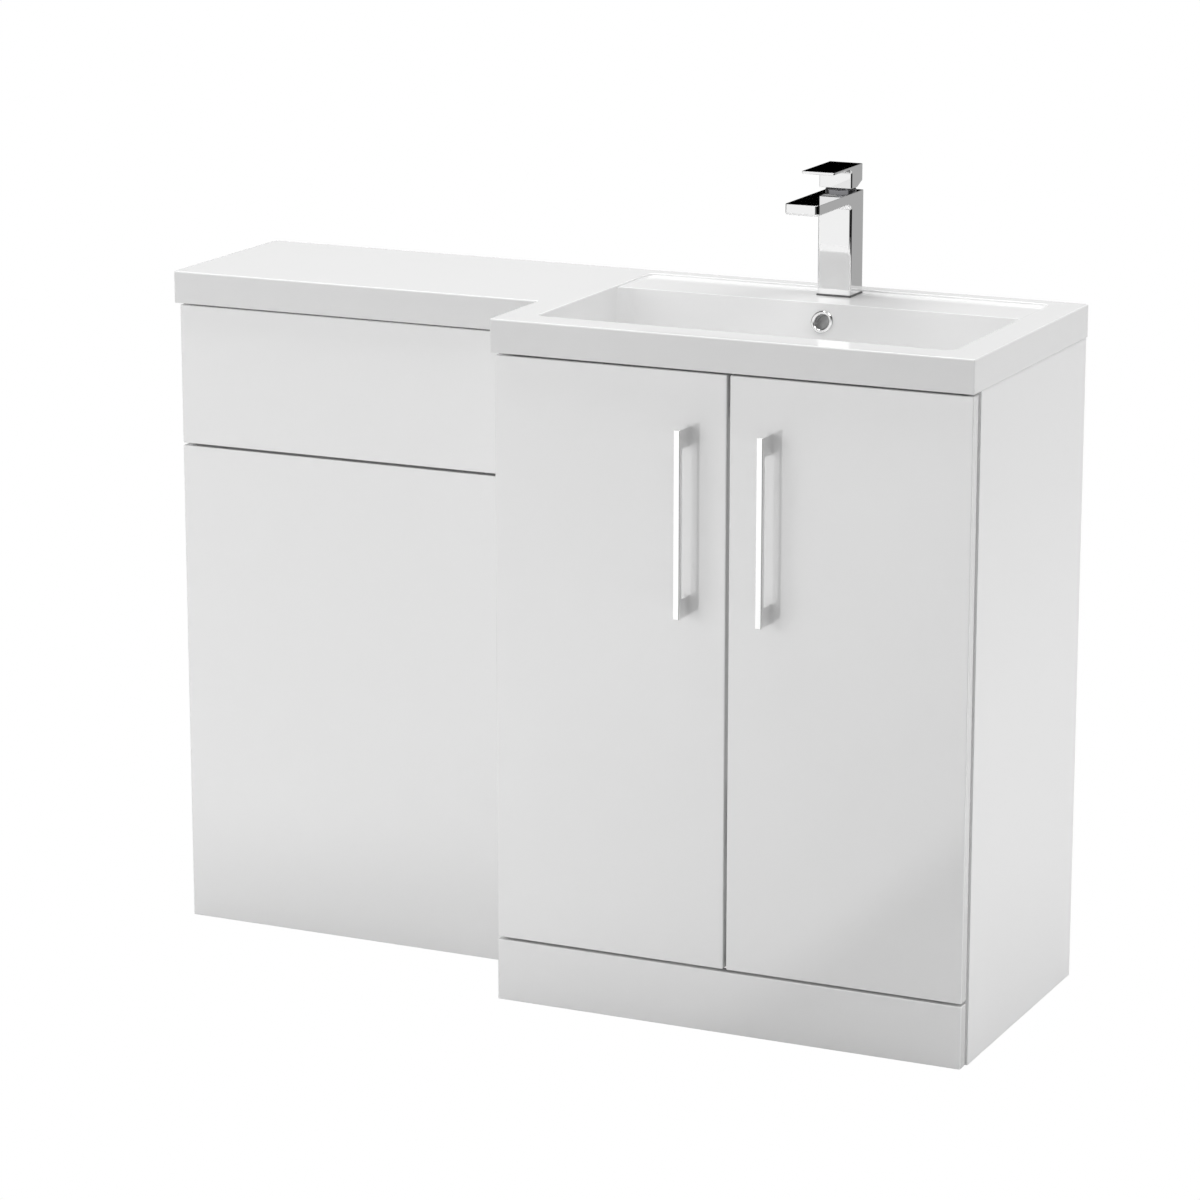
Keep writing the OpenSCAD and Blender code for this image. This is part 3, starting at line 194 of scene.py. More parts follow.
LOOK = {
    # the white resin carries painted shade, darker in its corners and recesses
    "cast": surface(
        "white_resin", grey(0.75), 0.035, mottling=0.008, rough_range=0.01, bump_scale=30,
        bump_strength=0.004, spec=0.24, painted_shade=0.15),
    # painted highlight: a lighter colour and stronger sheen on the top's rounded edges, for bright lines
    # along them
    "cast_painted_highlight": surface(
        "white_resin_painted_highlight", grey(0.86), 0.035, mottling=0.008, rough_range=0.01, spec=0.9),
    "gloss": surface(
        "gloss_white_front", grey(0.80), 0.05, mottling=0.006, rough_range=0.01, bump_scale=14,
        bump_strength=0.004, spec=1.0, coat=1.0),
    "board": surface(
        "white_faced_board", grey(0.80), 0.30, mottling=0.006, rough_range=0.012, bump_scale=420,
        bump_strength=0.01, edge=0.0009),
    "chrome": surface(
        "polished_chrome", grey(0.83), 0.03, metal=1.0, mottling=0.01, rough_range=0.01, bump_scale=60,
        bump_strength=0.01),
    "handle": surface(
        "chromed_bar", grey(0.99), 0.05, metal=1.0, mottling=0.01, rough_range=0.015, bump_scale=60,
        bump_strength=0.01),
    "dark_chrome": surface(
        "dark_chrome", (0.22, 0.22, 0.23), 0.08, metal=1.0, mottling=0.05, mottle_scale=60,
        rough_range=0.02, bump_scale=80, bump_strength=0.02),
    "steel": surface(
        "zinc_steel", (0.58, 0.59, 0.61), 0.30, metal=1.0, mottling=0.12, mottle_scale=160,
        rough_range=0.08, bump_scale=240, bump_strength=0.1),
    "zinc": surface(
        "zinc_casting", (0.50, 0.51, 0.53), 0.42, metal=1.0, mottling=0.12, mottle_scale=120,
        rough_range=0.08, bump_scale=320, bump_strength=0.15),
    "brass": surface(
        "brass", (0.72, 0.55, 0.25), 0.25, metal=1.0, mottling=0.1, mottle_scale=90, rough_range=0.06,
        bump_scale=150, bump_strength=0.08),
    "copper": surface(
        "copper", (0.78, 0.42, 0.28), 0.28, metal=1.0, mottling=0.14, mottle_scale=60, rough_range=0.08,
        bump_scale=120, bump_strength=0.08),
    "white_plastic": surface(
        "white_plastic", (0.80, 0.80, 0.78), 0.32, mottling=0.03, mottle_scale=40, rough_range=0.04,
        bump_scale=300, bump_strength=0.08),
    "grey_plastic": surface(
        "grey_plastic", (0.30, 0.31, 0.32), 0.38, mottling=0.06, mottle_scale=60, rough_range=0.05,
        bump_scale=300, bump_strength=0.1),
    "seal": surface(
        "dark_seal", grey(0.09), 0.35, mottling=0.1, mottle_scale=60, rough_range=0.05, bump_scale=300,
        bump_strength=0.1),
    "rubber": surface(
        "black_rubber", grey(0.025), 0.6, mottling=0.2, mottle_scale=80, rough_range=0.06,
        bump_scale=400, bump_strength=0.2),
    "beech": surface(
        "beech_dowel", (0.62, 0.45, 0.28), 0.55, mottling=0.25, mottle_scale=70, rough_range=0.06,
        bump_scale=200, bump_strength=0.25),
}
SLOT_LOOK = {
    "cast_basin": "cast",
    "gloss_front": "gloss",
    "carcass_board": "board",
    "polished_chrome": "chrome",
    "handle_metal": "handle",
    "zinc_steel": "steel",
    "zinc_cast": "zinc",
    "brass_part": "brass",
    "copper_pipe": "copper",
    "white_plastic": "white_plastic",
    "grey_plastic": "grey_plastic",
    "rubber_seal": "rubber",
    "beech": "beech",
}
SLOT_OF = {part["node"]: part["material_slot"] for part in frame["record"]["subparts"]}

# every carried-over node gets its slot's look, but the lever's spindle is bare steel
for name, obj in nodes.items():
    look = LOOK["steel" if name == "lever_spindle" else SLOT_LOOK[SLOT_OF[name]]]
    if not obj.data.materials:
        obj.data.materials.append(look)
    for s in obj.material_slots:
        s.material = look


# ---------------------------------------------------------------- mesh helpers
def even_normals(obj):
    w = obj.modifiers.new("even_normals", "WEIGHTED_NORMAL")
    w.mode = "FACE_AREA"
    w.keep_sharp = True


def finish(bm, name, mat, sharp=40):
    """The piece made from bm: smooth, but sharp where faces meet at more than sharp degrees."""
    bmesh.ops.remove_doubles(bm, verts=bm.verts, dist=1e-6)
    bmesh.ops.recalc_face_normals(bm, faces=bm.faces)
    for f in bm.faces:
        f.smooth = True
    for e in bm.edges:
        if len(e.link_faces) != 2 or e.calc_face_angle(0) > math.radians(sharp):
            e.smooth = False
    me = bpy.data.meshes.new(name)
    bm.to_mesh(me)
    bm.free()
    me.materials.append(LOOK[mat])
    o = bpy.data.objects.new(name, me)
    bpy.context.scene.collection.objects.link(o)
    even_normals(o)
    return o


def loop(bm, pts):
    return [bm.verts.new(p) for p in pts]


def skin(bm, a, b, closed=True, skip=()):
    """Faces between two rows of as many vertices. Corners that fall together are dropped."""
    n = len(a)
    for i in range(n if closed else n - 1):
        if i in skip:
            continue
        j = (i + 1) % n
        q = [a[i], a[j], b[j], b[i]]
        u = []
        for v in q:
            if all((v.co - w.co).length > 1e-7 for w in u):
                u.append(v)
        if len(u) > 2:
            try:
                bm.faces.new(u)
            except ValueError:
                pass


def ring_edges(bm, vs):
    out = []
    for a, b in zip(vs, vs[1:] + vs[:1]):
        if a is not b:
            out.append(bm.edges.get((a, b)) or bm.edges.new((a, b)))
    return out


def fill(bm, *loops):
    es = []
    for vs in loops:
        es += ring_edges(bm, vs)
    bmesh.ops.triangle_fill(bm, use_beauty=True, use_dissolve=False, edges=es)


def circle(cx, cd, z, r, n=48):
    return [at(cx + r * math.cos(2 * math.pi * i / n), cd + r * math.sin(2 * math.pi * i / n), z)
            for i in range(n)]


def slab(x, d, z, radius, segments):
    """A board or block with all its edges eased."""
    bm = bmesh.new()
    bmesh.ops.create_cube(bm, size=1)
    lo, hi = at(x[0], d[1], z[0]), at(x[1], d[0], z[1])
    for v in bm.verts:
        v.co = Vector([lo[i] + (v.co[i] + 0.5) * (hi[i] - lo[i]) for i in range(3)])
    bmesh.ops.bevel(bm, geom=bm.edges[:], offset=radius / 1000, segments=segments, profile=0.5,
                    affect="EDGES", clamp_overlap=True)
    return bm


SHARP = 32      # degrees between two faces whose shared edge can be rounded


def profile_bar(poly, x, rounds):
    """A side profile in (d, z) drawn out across x.

    Each of rounds is a test on an edge's two ends, in (x, d, z), a radius and a number of segments. The
    sharp edges that it picks are rounded, one of rounds after the other."""
    bm = bmesh.new()
    sides = [[bm.verts.new(at(xx, p[0], p[1])) for p in poly] for xx in x]
    bm.faces.new(sides[0])
    bm.faces.new(sides[1])
    n = len(poly)
    for i in range(n):
        j = (i + 1) % n
        bm.faces.new([sides[0][i], sides[0][j], sides[1][j], sides[1][i]])
    bmesh.ops.recalc_face_normals(bm, faces=bm.faces)
    for test, radius, segments in rounds:
        sharp = [e for e in bm.edges
                 if len(e.link_faces) == 2 and e.calc_face_angle(0) > math.radians(SHARP)]
        picked = [e for e in sharp if test(place(e.verts[0]), place(e.verts[1]))]
        bmesh.ops.bevel(bm, geom=picked, offset=radius / 1000, segments=segments, profile=0.5,
                        affect="EDGES", clamp_overlap=True)
    return bm


def every(p, q):
    return True


def lathe(origin, axis, prof, name, mat, n=64):
    """prof is (radius, height) in mm, in order along the section."""
    bm = bmesh.new()
    q = Vector((0, 0, 1)).rotation_difference(Vector(axis).normalized())
    rows = []
    for r, h in prof:
        if r < 1e-6:
            v = bm.verts.new(origin + q @ Vector((0, 0, h / 1000)))
            rows.append([v] * n)
        else:
            rows.append([bm.verts.new(origin + q @ Vector((r / 1000 * math.cos(2 * math.pi * i / n),
                                                           r / 1000 * math.sin(2 * math.pi * i / n),
                                                           h / 1000))) for i in range(n)])
    for a, b in zip(rows, rows[1:]):
        for i in range(n):
            j = (i + 1) % n
            u = []
            for v in (a[i], a[j], b[j], b[i]):
                if v not in u:
                    u.append(v)
            if len(u) > 2:
                bm.faces.new(u)
    return finish(bm, name, mat)


# ---------------------------------------------------------------- top with its basin
OUTLINE = [(0, 0), (UNIT_W, 0), (UNIT_W, BASIN_TOP_D), (STEP_X, BASIN_TOP_D), (STEP_X, WC_TOP_D),
           (0, WC_TOP_D)]
EDGE_R = 1.8            # round of the outer edge, and of the outline's corners
OUTLINE_STEPS = 6
UNDER_R = 0.8           # round of the lower edge
RIM_R = 1.6             # round of the recess's rim
EASE_STEPS = 4


def outline(off, z):
    """The L-shaped outline drawn in by off, with its corners rounded."""
    pts = []
    m = len(OUTLINE)
    for i in range(m):
        p0, p1, p2 = OUTLINE[i - 1], OUTLINE[i], OUTLINE[(i + 1) % m]
        a = Vector((p1[0] - p0[0], p1[1] - p0[1])).normalized()
        b = Vector((p2[0] - p1[0], p2[1] - p1[1])).normalized()
        turn = a.x * b.y - a.y * b.x
        na, nb = Vector((-a.y, a.x)), Vector((-b.y, b.x))
        c = Vector(p1) + (na + nb) * off
        rr = max(EDGE_R - off, 0.05) if turn > 0 else EDGE_R + off
        s, e = c - a * rr, c + b * rr
        o = s + (na if turn > 0 else -na) * rr
        v0, v1 = s - o, e - o
        ang0, ang1 = math.atan2(v0.y, v0.x), math.atan2(v1.y, v1.x)
        dif = (ang1 - ang0 + math.pi) % (2 * math.pi) - math.pi
        for k in range(OUTLINE_STEPS + 1):
            t = ang0 + dif * k / OUTLINE_STEPS
            pts.append(at(o.x + rr * math.cos(t), o.y + rr * math.sin(t), z))
    return pts


# The bowl's loops all have their points in the same places round it: CORNER_STEPS in each corner, and
# these along the back and front, the sides, and the sides of the ledge
CORNER_STEPS = 12
BACK_X = (BASIN_X - 150, OVERFLOW_X - 20, OVERFLOW_X + 20, BASIN_X + 150)
SIDE_D = (180, 215, 250, 285)
LEDGE_SIDE_D = (115, 109, 96, 70, 50)


def corner(cx, cd, r, a0, a1):
    angles = [math.radians(a0 + (a1 - a0) * i / CORNER_STEPS) for i in range(CORNER_STEPS + 1)]
    return [(cx + r * math.cos(a), cd + r * math.sin(a)) for a in angles]


def front_chain(x, d1, r):
    """Left side, front and right side, from the back-left corner's end to the back-right corner's start."""
    c = [(x[0], d) for d in SIDE_D]
    c += corner(x[0] + r, d1 - r, r, 180, 90)
    c += [(v, d1) for v in BACK_X]
    c += corner(x[1] - r, d1 - r, r, 90, 0)
    c += [(x[1], d) for d in reversed(SIDE_D)]
    return c


def back_chain(x, d0, r):
    """From the right side's end round the back to the left side's start, both ends included."""
    return (corner(x[1] - r, d0 + r, r, 0, -90) + [(v, d0) for v in reversed(BACK_X)]
            + corner(x[0] + r, d0 + r, r, -90, -180))


def lean(run, drop, r):
    """The angle off upright of a wall that ends in a round of radius r."""
    return math.atan2(run, drop) - math.asin(r / math.hypot(run, drop))


def wall_in(z, inset, grow, rim):
    """How far a bowl wall has come in at height z."""
    big = FLOOR_R + grow
    centre = FLOOR + FLOOR_R
    a = lean(inset + big, rim - centre, big)
    tangent = centre - big * math.sin(a)
    if z >= tangent:
        return -grow + (rim - z) * math.tan(a)
    h = centre - z
    return inset + FLOOR_R - math.sqrt(max(big * big - h * h, 0))


BLEND = 7       # mm below the centre of the floor's round, where the corners take that round's radius


def bowl_loop(z, grow, rim):
    """The bowl at height z, drawn out by grow: its sides, its back, its front and its corners' radius."""
    s, b, f = (wall_in(z, inset, grow, rim) for inset in (SIDE_IN, BACK_IN, FRONT_IN))
    big = FLOOR_R + grow
    centre = FLOOR + FLOOR_R
    if z > centre - BLEND:
        t = (rim - z) / (rim - (centre - BLEND))
        r = (CORNER_R + grow) * (1 - t) + math.sqrt(big ** 2 - BLEND ** 2) * t
    else:
        r = math.sqrt(max(big ** 2 - (centre - z) ** 2, 0.0025))
    x = (RECESS_X[0] + s, RECESS_X[1] - s)
    return x, LEDGE_D + b, RECESS_D[1] - f, max(r, 0.05)


def full_loop(z, grow=0.0, rim=TOP):
    """All round the bowl at height z: the front part, then the back part."""
    x, d0, d1, r = bowl_loop(z, grow, rim)
    return front_chain(x, d1, r) + back_chain(x, d0, r)


FRONT_COUNT = len(front_chain(RECESS_X, RECESS_D[1], CORNER_R))
BOWL_LEVELS = (832.3, 824, 795, 775, 764, 757, 752.5, 748.5, 745, 742.2, 740, 738.4, 737.4, 737.0)
UNDER_LEVELS = (825, 800, 780, 765, 757, 750, 744, 739, 735, 731.5, 729, 727.6, 727.0)
# the waste's seat, as (height, radius) from the floor in and down
WASTE_SEAT = ((737, 33.6), (736.8, 33.2), (736.0, 33.0), (736.0, 24.5), (712, 24.5), (712, 32.5),
              (727, 32.5))
WC_POCKET = ((12, 493.5), (12, 246))
BASIN_POCKET = ((511.5, 1088), (12, 376))
RISER_IN = (0.9, 7.0)   # how far the fillet behind the ledge comes in, at its ends and round the back
RISER_STEPS = 6
MOUTH_OUT = (0.55, 1.55)    # how far the round at the ledge's front edge goes out, at its ends and along it
MOUTH_STEPS = 4
BORE_R, BORE_L, BORE_SIDES = 0.011, 0.018, 40


def towards(x, d, cx, cd):
    """The direction from one place to another in plan, or none where they fall together."""
    n = Vector((cx - x, cd - d))
    return n.normalized() if n.length > 1e-6 else Vector((0, 0))


def between(value):
    """The value, held between 0 and 1."""
    return min(1.0, max(0.0, value))


def build_top():
    bm = bmesh.new()
    # Outer skin, from the top face's border down to the underside
    rows = []
    for i in range(EASE_STEPS + 1):
        a = math.radians(90 * i / EASE_STEPS)
        rows.append(outline(EDGE_R * (1 - math.sin(a)), TOP - EDGE_R * (1 - math.cos(a))))
    for i in range(3):
        a = math.radians(90 * i / 2)
        rows.append(outline(UNDER_R * (1 - math.cos(a)), UNDERSIDE + UNDER_R * (1 - math.sin(a))))
    outer = [loop(bm, r) for r in rows]
    for a, b in zip(outer, outer[1:]):
        skin(bm, a, b)
    rounds = outer[:EASE_STEPS + 1]

    # Rim of the recess: a small round, all the way round
    tip_d = LEDGE_D + CORNER_R

    def rim_points(off, z):
        x = (RECESS_X[0] - off, RECESS_X[1] + off)
        r = CORNER_R + off
        c = [at(x[0], tip_d, z)]
        c += [at(p[0], p[1], z) for p in front_chain(x, RECESS_D[1] + off, r)]
        c += [at(x[1], tip_d, z)]
        back = [(x[1], d) for d in LEDGE_SIDE_D]
        back += corner(x[1] - r, RECESS_D[0] - off + r, r, 0, -90)
        back += [(v, RECESS_D[0] - off) for v in reversed(BACK_X)]
        back += corner(x[0] + r, RECESS_D[0] - off + r, r, -90, -180)
        back += [(x[0], d) for d in reversed(LEDGE_SIDE_D)]
        return c + [at(p[0], p[1], z) for p in back]

    rims = []
    for i in range(EASE_STEPS + 1):
        a = math.radians(90 * i / EASE_STEPS)
        rims.append(loop(bm, rim_points(RIM_R * (1 - math.sin(a)), TOP - RIM_R * (1 - math.cos(a)))))
    for a, b in zip(rims, rims[1:]):
        skin(bm, a, b)
    # the outer edge's and the rim's rounds take the painted highlight material
    painted_highlight_verts = {v for row in rounds + rims for v in row}
    for f in bm.faces:
        if all(v in painted_highlight_verts for v in f.verts):
            f.material_index = 1    # painted highlight on the rounds
    fill(bm, outer[0], rims[0])

    # Bowl. The overflow is bored in a window of its back wall, between two columns of the mesh
    bowl = [loop(bm, [at(p[0], p[1], z) for p in full_loop(z)]) for z in BOWL_LEVELS]
    window = FRONT_COUNT + (CORNER_STEPS + 1) + 1
    for k, (a, b) in enumerate(zip(bowl, bowl[1:])):
        skin(bm, a, b, skip=(window,) if k == 1 else ())
    low_rim = rims[-1]
    wall_top = bowl[0]
    # front part of the wall: from the rim down to the bowl's first loop
    nf = FRONT_COUNT + 2
    front_bowl = [wall_top[-1]] + wall_top[:FRONT_COUNT] + [wall_top[FRONT_COUNT]]
    skin(bm, low_rim[:nf], front_bowl, closed=False)

    # riser round the back of the ledge, with its hollow fillet
    def riser_row(row, t):
        out = []
        for v in row:
            x, d, _ = place(v)
            s = between((tip_d - d) / CORNER_R)
            inset = (RISER_IN[0] + (RISER_IN[1] - RISER_IN[0]) * s) * (1 - math.cos(math.radians(90 * t)))
            drop = (TOP - RIM_R - LEDGE) * math.sin(math.radians(90 * t))
            # towards the middle of the recess: square to the nearest wall
            cx = min(max(x, RECESS_X[0] + CORNER_R), RECESS_X[1] - CORNER_R)
            n = towards(x, d, cx, max(d, RECESS_D[0] + CORNER_R))
            out.append(at(x + n.x * inset, d + n.y * inset, TOP - RIM_R - drop))
        return out

    back_rim = low_rim[nf - 1:] + [low_rim[0]]
    ledge_back = back_rim
    for i in range(1, RISER_STEPS + 1):
        row = loop(bm, riser_row(back_rim, i / RISER_STEPS))
        skin(bm, ledge_back, row, closed=False)
        ledge_back = row

    # front edge of the ledge: a small round down into the bowl's back wall
    back_bowl = wall_top[FRONT_COUNT:]
    mouth = [place(v)[:2] for v in back_bowl]
    turn_r = CORNER_R + 2

    def mouth_row(t):
        out = []
        for x, d in mouth:
            s = between((LEDGE_D + turn_r + 0.5 - d) / CORNER_R)
            cx = min(max(x, RECESS_X[0] + turn_r), RECESS_X[1] - turn_r)
            n = -towards(x, d, cx, max(d, LEDGE_D + turn_r))
            off = (MOUTH_OUT[0] + (MOUTH_OUT[1] - MOUTH_OUT[0]) * s) * (1 - math.sin(math.radians(90 * t)))
            drop = (LEDGE - BOWL_LEVELS[0]) * (1 - math.cos(math.radians(90 * t)))
            out.append(at(x + n.x * off, d + n.y * off, LEDGE - drop))
        return out

    rows = [loop(bm, mouth_row(i / MOUTH_STEPS)) for i in range(MOUTH_STEPS)] + [back_bowl]
    for a, b in zip(rows, rows[1:]):
        skin(bm, a, b, closed=False)
    ledge_front = rows[0]
    hole = loop(bm, circle(BASIN_X, TAP_D, LEDGE, TAP_HOLE_R))
    # ledge_back runs right to left round the back, ledge_front runs right to left along the mouth
    ring = ledge_back + list(reversed(ledge_front))
    for v in (ring[0], ring[-1], ledge_back[-1], ledge_front[-1]):
        v.co.z = LEDGE / 1000
    fill(bm, ring, hole)
    under_hole = loop(bm, circle(BASIN_X, TAP_D, POCKET_TOP, TAP_HOLE_R))
    skin(bm, hole, under_hole)

    # floor with the waste's seat
    seat = [loop(bm, circle(BASIN_X, WASTE_D, z, r)) for z, r in WASTE_SEAT]
    fill(bm, bowl[-1], seat[0])
    for a, b in zip(seat, seat[1:]):
        skin(bm, a, b)

    # overflow bore in the back wall
    upper, lower = bowl[1], bowl[2]
    win = [upper[window], upper[window + 1], lower[window + 1], lower[window]]
    up = (win[0].co - win[3].co).normalized()
    across = (win[1].co - win[0].co).normalized()
    normal = across.cross(up).normalized()
    if normal.y > 0:
        normal = -normal
    centre = at(OVERFLOW_X, LEDGE_D + wall_in(OVERFLOW_Z, BACK_IN, 0, TOP), OVERFLOW_Z)

    def bore_row(depth):
        out = []
        for i in range(BORE_SIDES):
            a = 2 * math.pi * i / BORE_SIDES
            out.append(centre - normal * depth + (across * math.cos(a) + up * math.sin(a)) * BORE_R)
        return out

    bore = [loop(bm, bore_row(depth)) for depth in (0.0, BORE_L)]
    fill(bm, win, bore[0])
    skin(bm, bore[0], bore[1])
    bm.faces.new(bore[1])

    # underside: skirt, two pockets, the bowl's outside
    pockets = []
    for x, d in (WC_POCKET, BASIN_POCKET):
        p = [loop(bm, [at(x[0], d[0], z), at(x[1], d[0], z), at(x[1], d[1], z), at(x[0], d[1], z)])
             for z in (UNDERSIDE, POCKET_TOP)]
        skin(bm, p[0], p[1])
        pockets.append(p)
    fill(bm, outer[-1], pockets[0][0], pockets[1][0])
    bm.faces.new(pockets[0][1])
    shell = [loop(bm, [at(p[0], p[1], z) for p in full_loop(z, WALL_T, POCKET_TOP)]) for z in UNDER_LEVELS]
    for a, b in zip(shell, shell[1:]):
        skin(bm, a, b)
    fill(bm, pockets[1][1], shell[0], under_hole)
    fill(bm, shell[-1], seat[-1])
    top = finish(bm, "top_casting", "cast", sharp=48)
    # second slot: the painted highlight for the rounds
    top.data.materials.append(LOOK["cast_painted_highlight"])
    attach(top, "cabinet")
    return top, centre, normal


top_obj, overflow_c, overflow_n = build_top()

# overflow duct behind and under the bowl
bm = bmesh.new()
DUCT = [(101.5, 824.8), (135, 727.3), (205, 727.3), (205, 711.8), (127, 711.8), (86.5, 824.8)]
DUCT_HALF = 19
DUCT_EASE = 0.0015      # metres
sides = [[bm.verts.new(at(x, d, z)) for d, z in DUCT]
         for x in (OVERFLOW_X - DUCT_HALF, OVERFLOW_X + DUCT_HALF)]
bm.faces.new(sides[0])
bm.faces.new(sides[1])
for i in range(len(DUCT)):
    j = (i + 1) % len(DUCT)
    bm.faces.new([sides[0][i], sides[0][j], sides[1][j], sides[1][i]])
bmesh.ops.recalc_face_normals(bm, faces=bm.faces)
bmesh.ops.bevel(bm, geom=bm.edges[:], offset=DUCT_EASE, segments=2, profile=0.5, affect="EDGES",
                clamp_overlap=True)
duct = finish(bm, "top_overflow_duct", "cast")
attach(duct, "cabinet")
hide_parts("basin_top")
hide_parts("basin_top")

# a tube into the bore with a rolled lip on the wall
RING = [(9.0, -6), (9.0, 0.2), (9.1, 0.9), (9.5, 1.6), (10.2, 2.2), (11.1, 2.5), (12.0, 2.45), (12.9, 2.0),
        (13.5, 1.4), (13.9, 0.7), (14.0, 0.15), (10.9, 0.15), (10.9, -6), (9.0, -6)]
ring = lathe(overflow_c, overflow_n, RING, "overflow_trim", "chrome")
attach(ring, "cabinet")
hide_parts("overflow_ring")

# a domed disc on its stem
PLUG_Z = 739
PLUG = [(0, 3.0), (12, 2.96), (20, 2.8), (25, 2.5), (27, 2.1), (27.8, 1.5), (28, 0.9), (27.9, 0.4),
        (27.5, 0.0), (4, 0.0), (4, -68.0), (0, -68.0)]
plug = lathe(at(BASIN_X, WASTE_D, PLUG_Z), (0, 0, 1), PLUG, "waste_plug_disc", "chrome", n=72)
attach(plug, "plug")
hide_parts("waste_plug")


# ---------------------------------------------------------------- fronts
FRONT_R = 1.4
CUP_IN = 20.5           # a hinge cup's middle from the door's edge
CUP_FROM_END = 100      # and from its top or bottom
CUP_R, CUP_CUT = 0.0176, 0.0245     # metres: a pocket's radius, and twice its depth


def pocket(front_obj, cx, d, cz):
    """A round pocket for a hinge cup, cut from the back of a door whose back is at d."""
    bm = bmesh.new()
    bmesh.ops.create_cone(bm, cap_ends=True, segments=48, radius1=CUP_R, radius2=CUP_R, depth=CUP_CUT)
    bmesh.ops.rotate(bm, verts=bm.verts, matrix=Matrix.Rotation(math.radians(90), 3, "X"))
    bmesh.ops.translate(bm, verts=bm.verts, vec=at(cx, d, cz))
    me = bpy.data.meshes.new("cutter")
    bm.to_mesh(me)
    bm.free()
    cutter = bpy.data.objects.new("cutter", me)
    bpy.context.scene.collection.objects.link(cutter)
    mod = front_obj.modifiers.new("pocket", "BOOLEAN")
    mod.object = cutter
    mod.solver = "EXACT"
    bpy.context.view_layer.update()
    front_obj.modifiers.remove(front_obj.modifiers["even_normals"])
    dg = bpy.context.evaluated_depsgraph_get()
    baked = bpy.data.meshes.new_from_object(front_obj.evaluated_get(dg))
    front_obj.modifiers.clear()
    front_obj.data = baked
    bpy.data.objects.remove(cutter)
    even_normals(front_obj)


def front(name, body, node, x, face, z, cups=()):
    """A board whose face is at depth face. Each of cups is the x of a hinge's two pockets."""
    o = finish(slab(x, (face - FRONT_T, face), z, FRONT_R, 4), name, "gloss")
    for cx in cups:
        for cz in (z[0] + CUP_FROM_END, z[1] - CUP_FROM_END):
            pocket(o, cx, face - FRONT_T, cz)
    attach(o, body)
    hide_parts(node)


front("door_left_front", "left_door", "door_left", LEFT_DOOR_X, DOOR_FACE, DOOR_Z,
      cups=(LEFT_DOOR_X[0] + CUP_IN,))
front("door_right_front", "right_door", "door_right", RIGHT_DOOR_X, DOOR_FACE, DOOR_Z,
      cups=(RIGHT_DOOR_X[1] - CUP_IN,))
front("plinth_front", "cabinet", "plinth", (LEFT_DOOR_X[0], RIGHT_DOOR_X[1]), DOOR_FACE, (0, 76.5))
front("panel_upper_front", "upper_panel", "wc_panel_upper", PANEL_X, PANEL_FACE, (619, 793.8))
front("panel_lower_front", "cabinet", "wc_panel_lower", PANEL_X, PANEL_FACE, (1, 616))


# ---------------------------------------------------------------- handles
HANDLE_Z = (505.8, 729.8)
HANDLE_FOOT = 24.0      # height of each foot
HANDLE_BAR = 7.5        # thickness, and width across
HANDLE_FACE = 407.0
HANDLE_IN = 49.5        # from the door's edge to the bar's middle


def handle(body, node, x):
    z0, z1 = HANDLE_Z
    grip = HANDLE_FACE - HANDLE_BAR
    profile = [(DOOR_FACE, z0), (HANDLE_FACE, z0), (HANDLE_FACE, z1), (DOOR_FACE, z1),
               (DOOR_FACE, z1 - HANDLE_FOOT), (grip, z1 - HANDLE_FOOT), (grip, z0 + HANDLE_FOOT),
               (DOOR_FACE, z0 + HANDLE_FOOT)]
    bm = profile_bar(profile, (x - HANDLE_BAR / 2, x + HANDLE_BAR / 2), ((every, 0.7, 3),))
    o = finish(bm, node + "_bar", "handle", sharp=60)
    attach(o, body)
    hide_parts(node)


handle("left_door", "handle_left", LEFT_DOOR_X[1] - HANDLE_IN)
handle("right_door", "handle_right", RIGHT_DOOR_X[0] + HANDLE_IN)

# ---------------------------------------------------------------- tap
TAP_HALF = 21.5
TAP_BACK = 25
TAP_FOOT = 835.5
COLUMN_FRONT = 63.5
SPOUT_UNDER, SPOUT_TOP = 946, 959
SPOUT_TIP = 168.5


def inner_fillet(d, z, r):
    """From a face at depth d round to an underside at height z."""
    angles = [math.radians(a) for a in range(0, 91, 15)]
    return [(d + r - r * math.cos(a), z - r + r * math.sin(a)) for a in angles]


tap_profile = [(TAP_BACK, TAP_FOOT), (COLUMN_FRONT, TAP_FOOT)]
tap_profile += inner_fillet(COLUMN_FRONT, SPOUT_UNDER, 7)
tap_profile += [(SPOUT_TIP, SPOUT_UNDER), (SPOUT_TIP, SPOUT_TOP), (TAP_BACK, SPOUT_TOP)]


def spout_corner(p, q):
    """The two upright edges at the spout's front."""
    return min(p[1], q[1]) > SPOUT_TIP - 0.5 and abs(p[0] - q[0]) < 0.1 and abs(p[2] - q[2]) > 1


def tap_chain(p, q):
    """The column's front corners, the fillet, and the spout's lower edges and lip."""
    low, high = min(p[2], q[2]), max(p[2], q[2])
    return min(p[1], q[1]) > COLUMN_FRONT - 0.1 and low < SPOUT_TOP - 1 and high > TAP_FOOT + 0.5


tap_rounds = ((spout_corner, 5.0, 10), (tap_chain, 3.0, 8), (every, 0.5, 3))
bm = profile_bar(tap_profile, (BASIN_X - TAP_HALF, BASIN_X + TAP_HALF), tap_rounds)
tap = finish(bm, "tap_casting", "chrome", sharp=60)
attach(tap, "cabinet")
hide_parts("tap_body")

